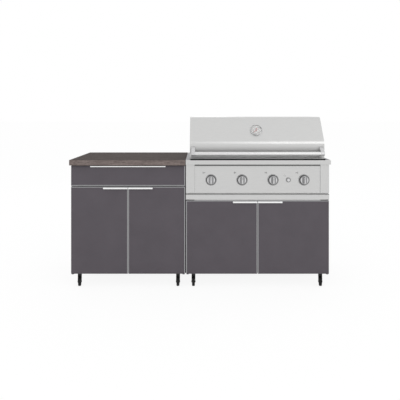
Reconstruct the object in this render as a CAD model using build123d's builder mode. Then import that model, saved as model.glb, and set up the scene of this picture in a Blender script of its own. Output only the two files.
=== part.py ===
from build123d import *
import os
from math import atan2, cos, hypot, radians, sin

os.makedirs("parts", exist_ok=True)

# A modular outdoor kitchen in millimetres: X to the right, front towards -Y, Z up, floor at zero.
# The origin lies on the floor, under the middle of the whole kitchen.

# Driving sizes of the two cabinets
base_width = 812.8
grill_width = 1016.0
carcass_depth = 567.0
counter_height = 900.0
caster_height = 92.0

# Folded sheet panels of the cabinets
side_thick = 20.0
side_skin = 2.0
side_hem = 18.0
floor_thick = 20.0
floor_skin = 2.0
floor_border = 110.0
back_thick = 3.0
vent_length = 120.0
vent_height = 9.0
vent_pitch = 24.0
vent_rows = 5
vent_columns = 3
vent_drop = 150.0
rail_height = 20.0
rail_depth = 40.0
shelf_thick = 16.0
shelf_rise = 290.0
shelf_gap = 1.0
shelf_setback = 60.0
cleat_size = 16.0

# Bolts that join one cabinet to the next
bolt_radius = 4.0
bolt_clearance = 0.3
bolt_head_height = 5.3
bolt_head_radius = 7.5
bolt_length = 16.0
bolt_edge = 90.0

# Doors and drawer front: a panel in a slim edge frame
door_thick = 18.0
door_gap = 5.0
side_reveal = 4.0
meeting_gap = 3.0
front_gap = 7.0
edge_width = 5.0
panel_thick = 10.0
panel_recess = 1.0

# Edge pulls of folded strip
pull_sheet = 2.0
pull_reach = 12.0
pull_drop = 14.0
pull_seat = 12.0
drawer_pull_length = 530.0
door_pull_length = 173.0

# Door pivots: a plate with a pin above and below each door
pivot_sheet = 3.0
pivot_inset = 10.0
pivot_setback = 7.0
pivot_width = 16.0
pivot_tail = 45.0
pivot_arm = 40.0
pin_radius = 2.5
pin_fit = 0.05
pin_shortfall = 0.6

# Drawer box and its runners
drawer_front_height = 141.0
drawer_top_gap = 5.0
drawer_box_height = 96.0
drawer_box_depth = 470.0
drawer_box_rise = 14.0
box_wall = 3.0
runner_height = 45.0
runner_thick = 6.2
runner_length = 555.0
runner_gap = 0.3

# Worktop slab
worktop_thick = 38.0
front_overhang = 25.0
side_overhang = 4.0
rear_overhang = 20.0
end_gap = 1.5
worktop_round = 2.0

# Steel rim, pillars and control panel of the grill
rim_height = 32.0
rim_sheet = 2.0
control_top_gap = 5.0
control_height = 196.0
control_recess = 6.0
control_sheet = 2.0
control_return = 26.0
control_fit = 0.3
pillar_width = 62.0
pillar_inset = 2.0
pillar_sheet = 2.0

# Burner knobs, their bezels and the igniter button
knob_count = 4
knob_pitch = 219.0
knob_drop = 106.0
knob_radius = 31.0
knob_disc = 14.0
knob_grip = 22.0
knob_grip_width = 13.0
knob_taper = 5.0
knob_gap = 1.0
bezel_radius = 40.0
bezel_thick = 9.0
stem_radius = 5.0
stem_fit = 0.05
stem_length = 34.0
stem_play = 1.0
stem_hole = 8.0
button_offset = 218.6
button_radius = 11.0
button_fit = 0.08
button_proud = 5.0
button_bezel_radius = 17.5
button_bezel_thick = 6.0
button_neck = 20.0

# Gas manifold, valves, burners and heat tents
manifold_radius = 10.0
manifold_setback = 66.0
manifold_drop = 21.0
valve_radius = 13.0
jet_radius = 3.5
jet_length = 14.0
pipe_radius = 6.5
pipe_clearance = 0.3
inlet_radius = 7.9
inlet_length = 18.0
burner_radius = 14.0
burner_wall = 1.5
burner_fit = 0.3
burner_nose = 10.0
tent_width = 110.0
tent_height = 40.0
tent_sheet = 2.0
tent_rise = 16.0

# Firebox, grates and warming rack
firebox_side_gap = 45.5
firebox_front = 88.0
firebox_depth = 412.0
firebox_wall = 2.0
firebox_drop = 180.0
funnel_fall = 46.0
funnel_slot = 120.0
funnel_sheet = 2.0
ledge_width = 14.0
ledge_sheet = 2.0
grate_count = 3
grate_thick = 14.0
grate_gap = 2.0
grate_below = 12.0
grate_bar = 9.0
grate_slot = 13.0
grate_border = 14.0
rack_rod = 3.0
rack_cross = 2.5
rack_weld = 1.2
rack_rods = 6
rack_crosses = 3
rack_depth = 130.0
rack_rise = 110.0
rack_back_gap = 40.0
rack_foot = 30.0

# Grease tray under the firebox and the rails that carry it
tray_gap = 10.0
tray_front_height = 39.0
tray_front_inset = 2.0
tray_sheet = 2.0
tray_depth = 26.0
tray_length = 440.0
tray_side_gap = 34.0
tray_flange = 16.0
tray_rail_sheet = 2.0
tray_rail_gap = 0.3
tray_rail_leg = 24.0
tray_return = 12.0

# Hood: one bent sheet between two end panels, turning on two pins
hood_width = 958.0
hood_depth = 505.0
hood_setback = 50.0
hood_lift = 9.0
hood_band = 111.0
hood_rise = 180.0
hood_run = 130.0
hood_sheet = 2.0
hood_end = 2.0
hood_hem = 14.0
hood_bend = 45.0
hood_crown = 40.0
hood_pivot_radius = 40.0
hood_pin = 5.0
hood_pin_fit = 0.05
hood_pin_inside = 8.0
hood_bracket = 5.0
hood_bracket_gap = 1.0
hood_bracket_width = 30.0
hood_foot = 14.0

# Hood handle: a tube between two posts
handle_radius = 13.0
handle_wall = 1.5
handle_standoff = 50.0
handle_rise = 39.0
post_width = 38.0
post_height = 67.0
post_drop = 19.0
post_socket = 6.0
post_fit = 0.05
post_nose = 1.5
post_root = 2.0
post_round = 1.0

# Temperature gauge on the slope of the hood
gauge_radius = 44.0
gauge_rise = 83.0
gauge_wall = 4.0
gauge_floor = 3.0
gauge_depth = 13.0
gauge_glass = 2.0
gauge_ledge = 2.0
gauge_fit = 0.1
gauge_lip = 1.0
probe_radius = 4.0
probe_length = 55.0
probe_fit = 0.2
needle_length = 29.0
needle_tail = 9.0
needle_width = 3.0
needle_thick = 1.0
needle_hub = 4.0
needle_lift = 2.0
spindle_radius = 1.2
spindle_fit = 0.05
needle_turn = 135.0

# Casters
caster_inset = 55.0
caster_setback = 45.0
caster_rear_setback = 50.0
caster_plate = 56.0
caster_plate_thick = 3.0
caster_plate_round = 6.0
caster_turn = 10.0
kingpin_radius = 6.0
kingpin_fit = 0.05
kingpin_head = 9.0
kingpin_head_height = 4.0
fork_gap = 0.5
fork_sheet = 2.5
fork_top_radius = 19.0
fork_eye = 9.0
fork_leg = 14.0
fork_web_gap = 2.5
wheel_radius = 31.75
wheel_width = 20.0
wheel_gap = 1.0
wheel_round = 5.0
wheel_tyre = 8.0
wheel_hub = 9.0
wheel_dish = 4.0
caster_trail = 18.0
axle_radius = 4.0
axle_fit = 0.05
axle_end = 1.5

# Places that follow from the sizes above
knob_reach = bezel_thick + knob_gap + knob_disc + knob_grip - control_recess
total_depth = knob_reach + door_thick + door_gap + carcass_depth + rear_overhang
front_y = knob_reach - total_depth / 2
carcass_y = front_y + door_thick + door_gap
back_y = carcass_y + carcass_depth
panel_back_y = back_y - back_thick
lip_y = front_y - front_overhang
left_x = -(base_width + grill_width) / 2
middle_x = left_x + base_width
right_x = middle_x + grill_width
base_x = (left_x + middle_x) / 2
grill_x = (middle_x + right_x) / 2
floor_z = caster_height
worktop_z = counter_height - worktop_thick
rim_z = counter_height - rim_sheet
drawer_top_z = worktop_z - drawer_top_gap
drawer_z = drawer_top_z - drawer_front_height
base_door_z = drawer_z - front_gap
control_top_z = counter_height - rim_height - control_top_gap
control_z = control_top_z - control_height
tray_top_z = control_z - tray_gap
tray_z = tray_top_z - tray_front_height
grill_door_z = tray_z - front_gap
pivot_clear = (front_gap - pivot_sheet) / 2
door_bottom_z = floor_z + pivot_clear
knob_z = control_top_z - knob_drop
manifold_z = knob_z - manifold_drop
firebox_width = grill_width - 2 * firebox_side_gap
inlet_x = (grill_x + firebox_width / 2 + right_x - side_thick) / 2


def front_plane(y):
    """Plane that looks at the front: local x to the right, local y up, normal towards the viewer."""
    return Plane.XZ.offset(-y)


def plate(x0, x1, y0, y1, z0, z1):
    """A flat rectangular piece between two corners."""
    with BuildPart() as piece:
        with BuildSketch(Plane.XY.offset(z0)):
            with Locations(((x0 + x1) / 2, (y0 + y1) / 2)):
                Rectangle(x1 - x0, y1 - y0)
        extrude(amount=z1 - z0)
    return piece.part


def save(piece, name):
    """Label a finished piece and write it under its own name."""
    piece.label = name
    export_step(piece, f"parts/{name}.step")


def save_group(pieces, name):
    """Write like pieces, which stay separate solids, under one name."""
    save(Compound(label=name, children=pieces), name)


# Cabinet sides: shallow folded trays, skin outwards, with four joining holes
side_depth = panel_back_y - carcass_y
bolt_y = [carcass_y + bolt_edge, panel_back_y - bolt_edge]
bolt_z = [floor_z + bolt_edge, worktop_z - bolt_edge]
bolt_places = [(y, z) for y in bolt_y for z in bolt_z]


def cabinet_side(outer_x, inward, top_z):
    """One side of a cabinet; inward is +1 where the inside lies towards +X."""
    with BuildPart() as side:
        with BuildSketch(Plane.YZ.offset(outer_x)):
            with Locations(((carcass_y + panel_back_y) / 2, (floor_z + top_z) / 2)):
                Rectangle(side_depth, top_z - floor_z)
        extrude(amount=inward * side_thick)
        with BuildSketch(Plane.YZ.offset(outer_x + inward * side_skin)):
            with Locations(((carcass_y + panel_back_y) / 2, (floor_z + top_z) / 2)):
                Rectangle(side_depth - 2 * side_hem, top_z - floor_z - 2 * side_hem)
        extrude(amount=inward * (side_thick - side_skin), mode=Mode.SUBTRACT)
        with BuildSketch(Plane.YZ.offset(outer_x)):
            with Locations(*bolt_places):
                Circle(bolt_radius + bolt_clearance)
        extrude(amount=inward * side_skin, mode=Mode.SUBTRACT)
    return side.part


save_group(
    [
        cabinet_side(left_x, 1, worktop_z),
        cabinet_side(middle_x, -1, worktop_z),
        cabinet_side(middle_x, 1, rim_z),
        cabinet_side(right_x, -1, rim_z),
    ],
    "cabinet_sides",
)

# Clear widths inside the cabinets
base_in = (left_x + side_thick, middle_x - side_thick)
grill_in = (middle_x + side_thick, right_x - side_thick)


def cabinet_floor(x0, x1):
    """Cabinet floor, hollowed from below and left thick round the edge for the casters."""
    with BuildPart() as floor:
        with BuildSketch(Plane.XY.offset(floor_z)):
            with Locations(((x0 + x1) / 2, (carcass_y + panel_back_y) / 2)):
                Rectangle(x1 - x0, side_depth)
        extrude(amount=floor_thick)
        with BuildSketch(Plane.XY.offset(floor_z)):
            with Locations(((x0 + x1) / 2, (carcass_y + panel_back_y) / 2)):
                Rectangle(x1 - x0 - 2 * floor_border, side_depth - 2 * floor_border)
        extrude(amount=floor_thick - floor_skin, mode=Mode.SUBTRACT)
    return floor.part


save_group([cabinet_floor(*base_in), cabinet_floor(*grill_in)], "cabinet_floors")


def cabinet_back(x0, x1, top_z, pipe_holes):
    """Back sheet with a field of vent slots near its top and a hole for each pipe that passes it."""
    with BuildPart() as back:
        with BuildSketch(front_plane(panel_back_y)):
            with Locations(((x0 + x1) / 2, (floor_z + top_z) / 2)):
                Rectangle(x1 - x0, top_z - floor_z)
            with Locations(((x0 + x1) / 2, top_z - vent_drop)):
                with GridLocations((x1 - x0) / (vent_columns + 1), vent_pitch, vent_columns, vent_rows):
                    SlotOverall(vent_length, vent_height, mode=Mode.SUBTRACT)
            for hole in pipe_holes:
                with Locations(hole):
                    Circle(pipe_radius + pipe_clearance, mode=Mode.SUBTRACT)
        extrude(amount=-back_thick)
    return back.part


save_group(
    [
        cabinet_back(left_x, middle_x, worktop_z, []),
        cabinet_back(middle_x, right_x, rim_z, [(inlet_x, manifold_z)]),
    ],
    "cabinet_backs",
)

# Rails across the cabinets and the two cleats under the shelf
base_rail_z = base_door_z + pivot_clear
grill_rail_z = grill_door_z + pivot_clear
shelf_z = floor_z + floor_thick + shelf_rise
shelf_front_y = carcass_y + shelf_setback


def rail(x0, x1, front, top_z):
    return plate(x0, x1, front, front + rail_depth, top_z - rail_height, top_z)


def cleat(x0):
    return plate(x0, x0 + cleat_size, shelf_front_y, panel_back_y, shelf_z - cleat_size, shelf_z)


save_group(
    [
        rail(*base_in, carcass_y, worktop_z),
        rail(*base_in, carcass_y, base_rail_z),
        rail(*base_in, panel_back_y - rail_depth, worktop_z),
        rail(*grill_in, carcass_y, grill_rail_z),
        rail(*grill_in, panel_back_y - rail_depth, grill_rail_z),
        cleat(base_in[0]),
        cleat(base_in[1] - cleat_size),
    ],
    "cabinet_rails",
)

# Shelf in the base cabinet, resting on the cleats
with BuildPart() as shelf:
    with BuildSketch(Plane.XY.offset(shelf_z)):
        with Locations((base_x, (shelf_front_y + panel_back_y) / 2)):
            Rectangle(base_in[1] - base_in[0] - 2 * shelf_gap, panel_back_y - shelf_front_y)
    extrude(amount=shelf_thick)
    fillet(shelf.edges().filter_by(Axis.X).group_by(Axis.Y)[0], shelf_thick / 4)
save(shelf.part, "cabinet_shelf")

# Bolts through the two sides that meet in the middle, head on one skin and nut on the other
with BuildPart() as bolts:
    with BuildSketch(Plane.YZ.offset(middle_x - side_skin)):
        with Locations(*bolt_places):
            RegularPolygon(bolt_head_radius, 6)
    extrude(amount=-bolt_head_height)
    with BuildSketch(Plane.YZ.offset(middle_x - side_skin)):
        with Locations(*bolt_places):
            Circle(bolt_radius)
    extrude(amount=bolt_length)
    with BuildSketch(Plane.YZ.offset(middle_x + side_skin)):
        with Locations(*bolt_places):
            RegularPolygon(bolt_head_radius, 6)
    extrude(amount=bolt_head_height)
save(bolts.part, "joining_bolts")

# Worktop slab on the base cabinet
slab_x = (left_x - side_overhang, middle_x - end_gap)
slab_y = (lip_y, back_y + rear_overhang)
with BuildPart() as worktop:
    with BuildSketch(Plane.XY.offset(worktop_z)):
        with Locations(((slab_x[0] + slab_x[1]) / 2, (slab_y[0] + slab_y[1]) / 2)):
            Rectangle(slab_x[1] - slab_x[0], slab_y[1] - slab_y[0])
    extrude(amount=worktop_thick)
    fillet(worktop.edges().filter_by(Axis.Z), worktop_round)
    fillet(worktop.edges().group_by(Axis.Z)[-1], worktop_round)
save(worktop.part, "worktop")

# Fronts: a panel held in four mitred edge rails, with a folded pull on the top rail
panel_y = front_y + panel_recess


def front_panel(x0, x1, z0, z1):
    """The dark panel of a front, inside its edge rails."""
    with BuildPart() as panel:
        with BuildSketch(front_plane(panel_y)):
            with Locations(((x0 + x1) / 2, (z0 + z1) / 2)):
                Rectangle(x1 - x0 - 2 * edge_width, z1 - z0 - 2 * edge_width)
        extrude(amount=-panel_thick)
    return panel.part


def edge_rail(outline, hole_x, z0):
    """One mitred edge rail; a rail that takes a pivot pin is bored at hole_x."""
    with BuildPart() as edge:
        with BuildSketch(front_plane(front_y)):
            Polygon(*outline, align=None)
        extrude(amount=-door_thick)
        if hole_x is not None:
            with BuildSketch(Plane.XY.offset(z0)):
                with Locations((hole_x, front_y + pivot_setback)):
                    Circle(pin_radius + pin_fit)
            extrude(amount=edge_width, mode=Mode.SUBTRACT)
    return edge.part


def edge_pull(x0, x1, top_z):
    """A strip folded over the top edge, with a lip hanging in front for the fingers."""
    lip = front_y - pull_reach
    drop_z = top_z + pull_sheet - pull_drop
    with BuildPart() as pull:
        with BuildSketch(Plane.YZ.offset(x0)):
            with BuildLine():
                Polyline(
                    (front_y + pull_seat, top_z),
                    (front_y + pull_seat, top_z + pull_sheet),
                    (lip, top_z + pull_sheet),
                    (lip, drop_z),
                    (lip + pull_sheet, drop_z),
                    (lip + pull_sheet, top_z),
                    close=True,
                )
            make_face()
        extrude(amount=x1 - x0)
        outer_edge = pull.edges().filter_by(Axis.X).group_by(Axis.Y)[0].sort_by(Axis.Z)[-1]
        fillet(outer_edge, pull_sheet * 0.8)
    return pull.part


def front_frame(x0, x1, z0, z1, pull, hole_x=None):
    """Four edge rails and the pull of one front."""
    e = edge_width
    top = [(x0, z1), (x0 + e, z1 - e), (x1 - e, z1 - e), (x1, z1)]
    bottom = [(x0, z0), (x1, z0), (x1 - e, z0 + e), (x0 + e, z0 + e)]
    left = [(x0, z0), (x0 + e, z0 + e), (x0 + e, z1 - e), (x0, z1)]
    right = [(x1, z0), (x1, z1), (x1 - e, z1 - e), (x1 - e, z0 + e)]
    return [
        edge_rail(top, hole_x, z1 - e),
        edge_rail(bottom, hole_x, z0),
        edge_rail(left, None, z0),
        edge_rail(right, None, z0),
        edge_pull(*pull, z1),
    ]


# Four doors in two pairs, each hung at its outer edge
door_pairs = {
    "base": (left_x, middle_x, base_door_z),
    "grill": (middle_x, right_x, grill_door_z),
}
pivot_places = []
for pair, (side_a, side_b, top_z) in door_pairs.items():
    edge_a = side_a + side_reveal
    edge_b = side_b - side_reveal
    meet_a = (side_a + side_b - meeting_gap) / 2
    meet_b = (side_a + side_b + meeting_gap) / 2
    pivot_a = edge_a + pivot_inset
    pivot_b = edge_b - pivot_inset
    pivot_places += [(pivot_a, 1, top_z), (pivot_b, -1, top_z)]
    save(front_panel(edge_a, meet_a, door_bottom_z, top_z), f"{pair}_left_door_panel")
    save(front_panel(meet_b, edge_b, door_bottom_z, top_z), f"{pair}_right_door_panel")
    pull_a = (meet_a - door_pull_length, meet_a)
    pull_b = (meet_b, meet_b + door_pull_length)
    frame_a = front_frame(edge_a, meet_a, door_bottom_z, top_z, pull_a, pivot_a)
    frame_b = front_frame(meet_b, edge_b, door_bottom_z, top_z, pull_b, pivot_b)
    save_group(frame_a, f"{pair}_left_door_frame")
    save_group(frame_b, f"{pair}_right_door_frame")

# Pivot plates: a straight one under the cabinet side, an angled one on the rail above the door
pin_grip = edge_width - pin_shortfall
pivot_y = front_y + pivot_setback


def lower_pivot(x):
    with BuildPart() as pivot:
        with BuildSketch(Plane.XY.offset(floor_z)):
            with Locations((x, pivot_y)):
                Circle(pivot_width / 2)
            with Locations((x, (pivot_y + carcass_y + pivot_tail) / 2)):
                Rectangle(pivot_width, carcass_y + pivot_tail - pivot_y)
        extrude(amount=-pivot_sheet)
        with BuildSketch(Plane.XY.offset(floor_z)):
            with Locations((x, pivot_y)):
                Circle(pin_radius)
        extrude(amount=pivot_clear + pin_grip)
    return pivot.part


def upper_pivot(x, inward, door_top_z):
    """inward is +1 where the door's free edge lies towards +X."""
    seat_z = door_top_z + pivot_clear
    outer = x - inward * pivot_width / 2
    rail_end = outer - inward * (side_reveal + pivot_inset - pivot_width / 2 - side_thick)
    arm_end = rail_end + inward * pivot_arm
    with BuildPart() as pivot:
        with BuildSketch(Plane.XY.offset(seat_z)):
            with Locations((x, pivot_y)):
                Circle(pivot_width / 2)
            with Locations(((outer + arm_end) / 2, (pivot_y + carcass_y) / 2)):
                Rectangle(abs(arm_end - outer), carcass_y - pivot_y)
            with Locations(((rail_end + arm_end) / 2, carcass_y + rail_depth / 2)):
                Rectangle(pivot_arm, rail_depth)
        extrude(amount=pivot_sheet)
        with BuildSketch(Plane.XY.offset(seat_z)):
            with Locations((x, pivot_y)):
                Circle(pin_radius)
        extrude(amount=-(pivot_clear + pin_grip))
    return pivot.part


pivots = [lower_pivot(x) for x, inward, top_z in pivot_places]
pivots += [upper_pivot(x, inward, top_z) for x, inward, top_z in pivot_places]
save_group(pivots, "door_pivots")

# Drawer: front, box of five sheets, moving slides and the fixed runners
drawer_x = (left_x + side_reveal, middle_x - side_reveal)
drawer_pull = (base_x - drawer_pull_length / 2, base_x + drawer_pull_length / 2)
save(front_panel(*drawer_x, drawer_z, drawer_top_z), "drawer_front_panel")
save_group(front_frame(*drawer_x, drawer_z, drawer_top_z, drawer_pull), "drawer_front_frame")

runner_space = 2 * runner_thick + runner_gap
box_x = (base_in[0] + runner_space, base_in[1] - runner_space)
box_y = (panel_y + panel_thick, panel_y + panel_thick + drawer_box_depth)
box_z = (drawer_z + drawer_box_rise, drawer_z + drawer_box_rise + drawer_box_height)
wall_z = (box_z[0] + box_wall, box_z[1])
end_x = (box_x[0] + box_wall, box_x[1] - box_wall)
save_group(
    [
        plate(*box_x, *box_y, box_z[0], wall_z[0]),
        plate(box_x[0], end_x[0], *box_y, *wall_z),
        plate(end_x[1], box_x[1], *box_y, *wall_z),
        plate(*end_x, box_y[0], box_y[0] + box_wall, *wall_z),
        plate(*end_x, box_y[1] - box_wall, box_y[1], *wall_z),
    ],
    "drawer_box",
)


def runner(x0, y0, y1):
    """A runner bar with eased edges, standing on edge beside the drawer box."""
    with BuildPart() as bar:
        with BuildSketch(front_plane(y0)):
            with Locations((x0 + runner_thick / 2, (box_z[0] + box_z[1]) / 2)):
                RectangleRounded(runner_thick, runner_height, runner_thick / 4)
        extrude(amount=y0 - y1)
    return bar.part


runner_y = (carcass_y, carcass_y + runner_length)
slide_y = (carcass_y, box_y[1])
save_group(
    [runner(base_in[0], *runner_y), runner(base_in[1] - runner_thick, *runner_y)],
    "drawer_runners",
)
save_group(
    [runner(box_x[0] - runner_thick, *slide_y), runner(box_x[1], *slide_y)],
    "drawer_slides",
)

# Firebox: four walls under the rim, two sloped floor sheets and the ledges inside
fire_x = (grill_x - firebox_width / 2, grill_x + firebox_width / 2)
fire_y = (front_y + firebox_front, front_y + firebox_front + firebox_depth)
fire_in_x = (fire_x[0] + firebox_wall, fire_x[1] - firebox_wall)
fire_in_y = (fire_y[0] + firebox_wall, fire_y[1] - firebox_wall)
fire_z = rim_z - firebox_drop
knob_x = [grill_x + (i - (knob_count - 1) / 2) * knob_pitch for i in range(knob_count)]
funnel_top_z = fire_z + funnel_sheet
funnel_z = funnel_top_z - funnel_fall
fire_mid_y = (fire_y[0] + fire_y[1]) / 2
grate_z = counter_height - grate_below - grate_thick
tent_z = knob_z + burner_radius + tent_rise

with BuildPart() as firebox_face:
    with BuildSketch(front_plane(fire_y[0])):
        with Locations((grill_x, (fire_z + rim_z) / 2)):
            Rectangle(firebox_width, firebox_drop)
        with Locations(*[(x, knob_z) for x in knob_x]):
            Circle(burner_radius + burner_fit, mode=Mode.SUBTRACT)
    extrude(amount=-firebox_wall)


def funnel(wall_y, slot_y):
    """A floor sheet that falls from a wall to the slot over the grease tray."""
    with BuildPart() as sheet:
        with BuildSketch(Plane.YZ.offset(fire_in_x[0])):
            Polygon(
                (wall_y, funnel_top_z),
                (slot_y, funnel_z),
                (slot_y, funnel_z - funnel_sheet),
                (wall_y, funnel_top_z - funnel_sheet),
                align=None,
            )
        extrude(amount=fire_in_x[1] - fire_in_x[0])
    return sheet.part


def ledge(y0, top_z):
    return plate(*fire_in_x, y0, y0 + ledge_width, top_z - ledge_sheet, top_z)


side_wall_z = funnel_z - funnel_sheet
save_group(
    [
        firebox_face.part,
        plate(*fire_x, fire_in_y[1], fire_y[1], fire_z, rim_z),
        plate(fire_x[0], fire_in_x[0], *fire_in_y, side_wall_z, rim_z),
        plate(fire_in_x[1], fire_x[1], *fire_in_y, side_wall_z, rim_z),
        funnel(fire_in_y[0], fire_mid_y - funnel_slot / 2),
        funnel(fire_in_y[1], fire_mid_y + funnel_slot / 2),
        ledge(fire_in_y[0], grate_z),
        ledge(fire_in_y[1] - ledge_width, grate_z),
        ledge(fire_in_y[0], tent_z),
        ledge(fire_in_y[1] - ledge_width, tent_z),
    ],
    "firebox_walls",
)

# Grill rim: a folded steel frame round the firebox, in four mitred rails
rim_x = (middle_x + end_gap, right_x + side_overhang)
rim_y = slab_y
skirt_z = counter_height - rim_height
rim_outer = [(rim_x[i], rim_y[j]) for i, j in ((0, 0), (1, 0), (1, 1), (0, 1))]
rim_inner = [(fire_in_x[i], fire_in_y[j]) for i, j in ((0, 0), (1, 0), (1, 1), (0, 1))]


def rim_rail(corner):
    """One side of the rim, cut on the line from its outer to its inner corners."""
    following = (corner + 1) % 4
    with BuildPart() as side:
        with BuildSketch(Plane.XY.offset(skirt_z)):
            Polygon(*rim_outer, align=None)
        extrude(amount=rim_height)
        fillet(side.edges().group_by(Axis.Z)[-1].group_by(Axis.Y)[0], rim_sheet)
        with BuildSketch(Plane.XY.offset(skirt_z)):
            with Locations(((rim_x[0] + rim_x[1]) / 2 - rim_sheet, (rim_y[0] + rim_y[1]) / 2)):
                Rectangle(rim_x[1] - rim_x[0], rim_y[1] - rim_y[0] - 2 * rim_sheet)
        extrude(amount=rim_height - rim_sheet, mode=Mode.SUBTRACT)
        with BuildSketch(Plane.XY.offset(skirt_z)):
            Polygon(
                rim_outer[corner],
                rim_outer[following],
                rim_inner[following],
                rim_inner[corner],
                align=None,
            )
        extrude(amount=rim_height, mode=Mode.INTERSECT)
    return side.part


save_group([rim_rail(corner) for corner in range(4)], "grill_rim")

# Steel pillars at both ends of the control panel: channels in front of the cabinet sides
def pillar(x0):
    with BuildPart() as channel:
        with BuildSketch(Plane.XY.offset(control_z)):
            with Locations((x0 + pillar_width / 2, (front_y + carcass_y) / 2)):
                Rectangle(pillar_width, carcass_y - front_y)
            with Locations((x0 + pillar_width / 2, (front_y + carcass_y) / 2 + pillar_sheet)):
                Rectangle(pillar_width - 2 * pillar_sheet, carcass_y - front_y, mode=Mode.SUBTRACT)
        extrude(amount=rim_z - control_z)
        fillet(channel.edges().filter_by(Axis.Z).group_by(Axis.Y)[0], pillar_sheet)
    return channel.part


left_pillar_x = middle_x + pillar_inset
right_pillar_x = right_x - pillar_inset - pillar_width
save_group([pillar(left_pillar_x), pillar(right_pillar_x)], "grill_pillars")

# Control panel: a folded sheet with holes for four stems and the igniter
control_y = front_y + control_recess
control_x = (left_pillar_x + pillar_width + control_fit, right_pillar_x - control_fit)
igniter_x = grill_x + button_offset
barrel_radius = button_radius + button_fit + pillar_sheet
with BuildPart() as control:
    with BuildSketch(Plane.YZ.offset(control_x[0])):
        with Locations((control_y + control_return / 2, (control_z + control_top_z) / 2)):
            Rectangle(control_return, control_height)
        with Locations((control_y + control_return / 2 + control_sheet, (control_z + control_top_z) / 2)):
            Rectangle(control_return, control_height - 2 * control_sheet, mode=Mode.SUBTRACT)
    extrude(amount=control_x[1] - control_x[0])
    fillet(control.edges().filter_by(Axis.X).group_by(Axis.Y)[0], control_sheet)
    with BuildSketch(front_plane(control_y)):
        with Locations(*[(x, knob_z) for x in knob_x]):
            Circle(stem_hole)
        with Locations((igniter_x, knob_z)):
            Circle(barrel_radius + control_fit)
    extrude(amount=-control_sheet, mode=Mode.SUBTRACT)
save(control.part, "control_panel")

# Bezels on the panel: four dished rings behind the knobs, one barrel round the button
bezels = []
for x in knob_x:
    with BuildPart() as bezel:
        with BuildSketch(front_plane(control_y)):
            with Locations((x, knob_z)):
                Circle(bezel_radius)
                Circle(stem_hole, mode=Mode.SUBTRACT)
        extrude(amount=bezel_thick)
        front_edge = bezel.edges().group_by(Axis.Y)[0].sort_by(SortBy.RADIUS)[-1]
        fillet(front_edge, bezel_thick / 2)
    bezels.append(bezel.part)
with BuildPart() as button_barrel:
    with BuildSketch(front_plane(control_y)):
        with Locations((igniter_x, knob_z)):
            Circle(button_bezel_radius)
    extrude(amount=button_bezel_thick)
    rim_edge = button_barrel.edges().group_by(Axis.Y)[0]
    fillet(rim_edge, button_bezel_thick / 3)
    with BuildSketch(front_plane(control_y)):
        with Locations((igniter_x, knob_z)):
            Circle(barrel_radius)
    extrude(amount=-button_neck)
    with BuildSketch(front_plane(control_y + button_neck)):
        with Locations((igniter_x, knob_z)):
            Circle(button_radius + button_fit)
    extrude(amount=button_neck + button_bezel_thick, mode=Mode.SUBTRACT)
save_group(bezels + [button_barrel.part], "control_bezels")

# Burner knobs: a round skirt with an upright grip, on a stem that reaches into the valve
knob_back_y = control_y - bezel_thick - knob_gap
for number, x in enumerate(knob_x, start=1):
    with BuildPart() as knob:
        with BuildSketch(front_plane(knob_back_y)):
            with Locations((x, knob_z)):
                Circle(knob_radius)
        extrude(amount=knob_disc)
        fillet(knob.edges().group_by(Axis.Y)[0], knob_disc / 3)
        with BuildSketch(front_plane(knob_back_y - knob_disc)):
            with Locations((x, knob_z)):
                SlotOverall(2 * knob_radius - knob_disc, knob_grip_width, rotation=90)
        extrude(amount=knob_grip, taper=knob_taper)
        fillet(knob.edges().group_by(Axis.Y)[0], knob_grip_width / 6)
        with BuildSketch(front_plane(knob_back_y)):
            with Locations((x, knob_z)):
                Circle(stem_radius)
        extrude(amount=-stem_length)
    save(knob.part, f"burner_knob_{number}")

# Igniter button, sliding in its barrel
with BuildPart() as button:
    with BuildSketch(front_plane(control_y + button_neck - button_proud)):
        with Locations((igniter_x, knob_z)):
            Circle(button_radius)
    extrude(amount=button_neck + button_bezel_thick)
    fillet(button.edges().group_by(Axis.Y)[0], button_radius / 6)
save(button.part, "igniter_button")

# Gas manifold: a pipe along the panel with four valves and jets, running back to its inlet
manifold_y = front_y + manifold_setback
valve_y = (control_y + control_sheet + control_fit, manifold_y + manifold_radius)
with BuildPart() as manifold:
    with BuildLine() as pipe_path:
        FilletPolyline(
            (knob_x[0] - bezel_radius, manifold_y, manifold_z),
            (inlet_x, manifold_y, manifold_z),
            (inlet_x, back_y, manifold_z),
            radius=2 * pipe_radius,
        )
    with BuildSketch(Plane(origin=pipe_path.line @ 0, z_dir=pipe_path.line % 0)):
        Circle(pipe_radius)
    sweep()
    with BuildSketch(front_plane(back_y)):
        with Locations((inlet_x, manifold_z)):
            Circle(inlet_radius)
    extrude(amount=-inlet_length)
    with BuildSketch(Plane.YZ.offset(knob_x[0] - bezel_radius)):
        with Locations((manifold_y, manifold_z)):
            Circle(manifold_radius)
    extrude(amount=knob_x[-1] - knob_x[0] + 2 * bezel_radius)
    with BuildSketch(front_plane(valve_y[0])):
        with Locations(*[(x, knob_z) for x in knob_x]):
            Circle(valve_radius)
    extrude(amount=valve_y[0] - valve_y[1])
    with BuildSketch(front_plane(valve_y[0])):
        with Locations(*[(x, knob_z) for x in knob_x]):
            Circle(stem_radius + stem_fit)
    extrude(amount=valve_y[0] - knob_back_y - stem_length - stem_play, mode=Mode.SUBTRACT)
    with BuildSketch(front_plane(valve_y[1])):
        with Locations(*[(x, knob_z) for x in knob_x]):
            Circle(jet_radius)
    extrude(amount=-jet_length)
save(manifold.part, "gas_manifold")

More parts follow.
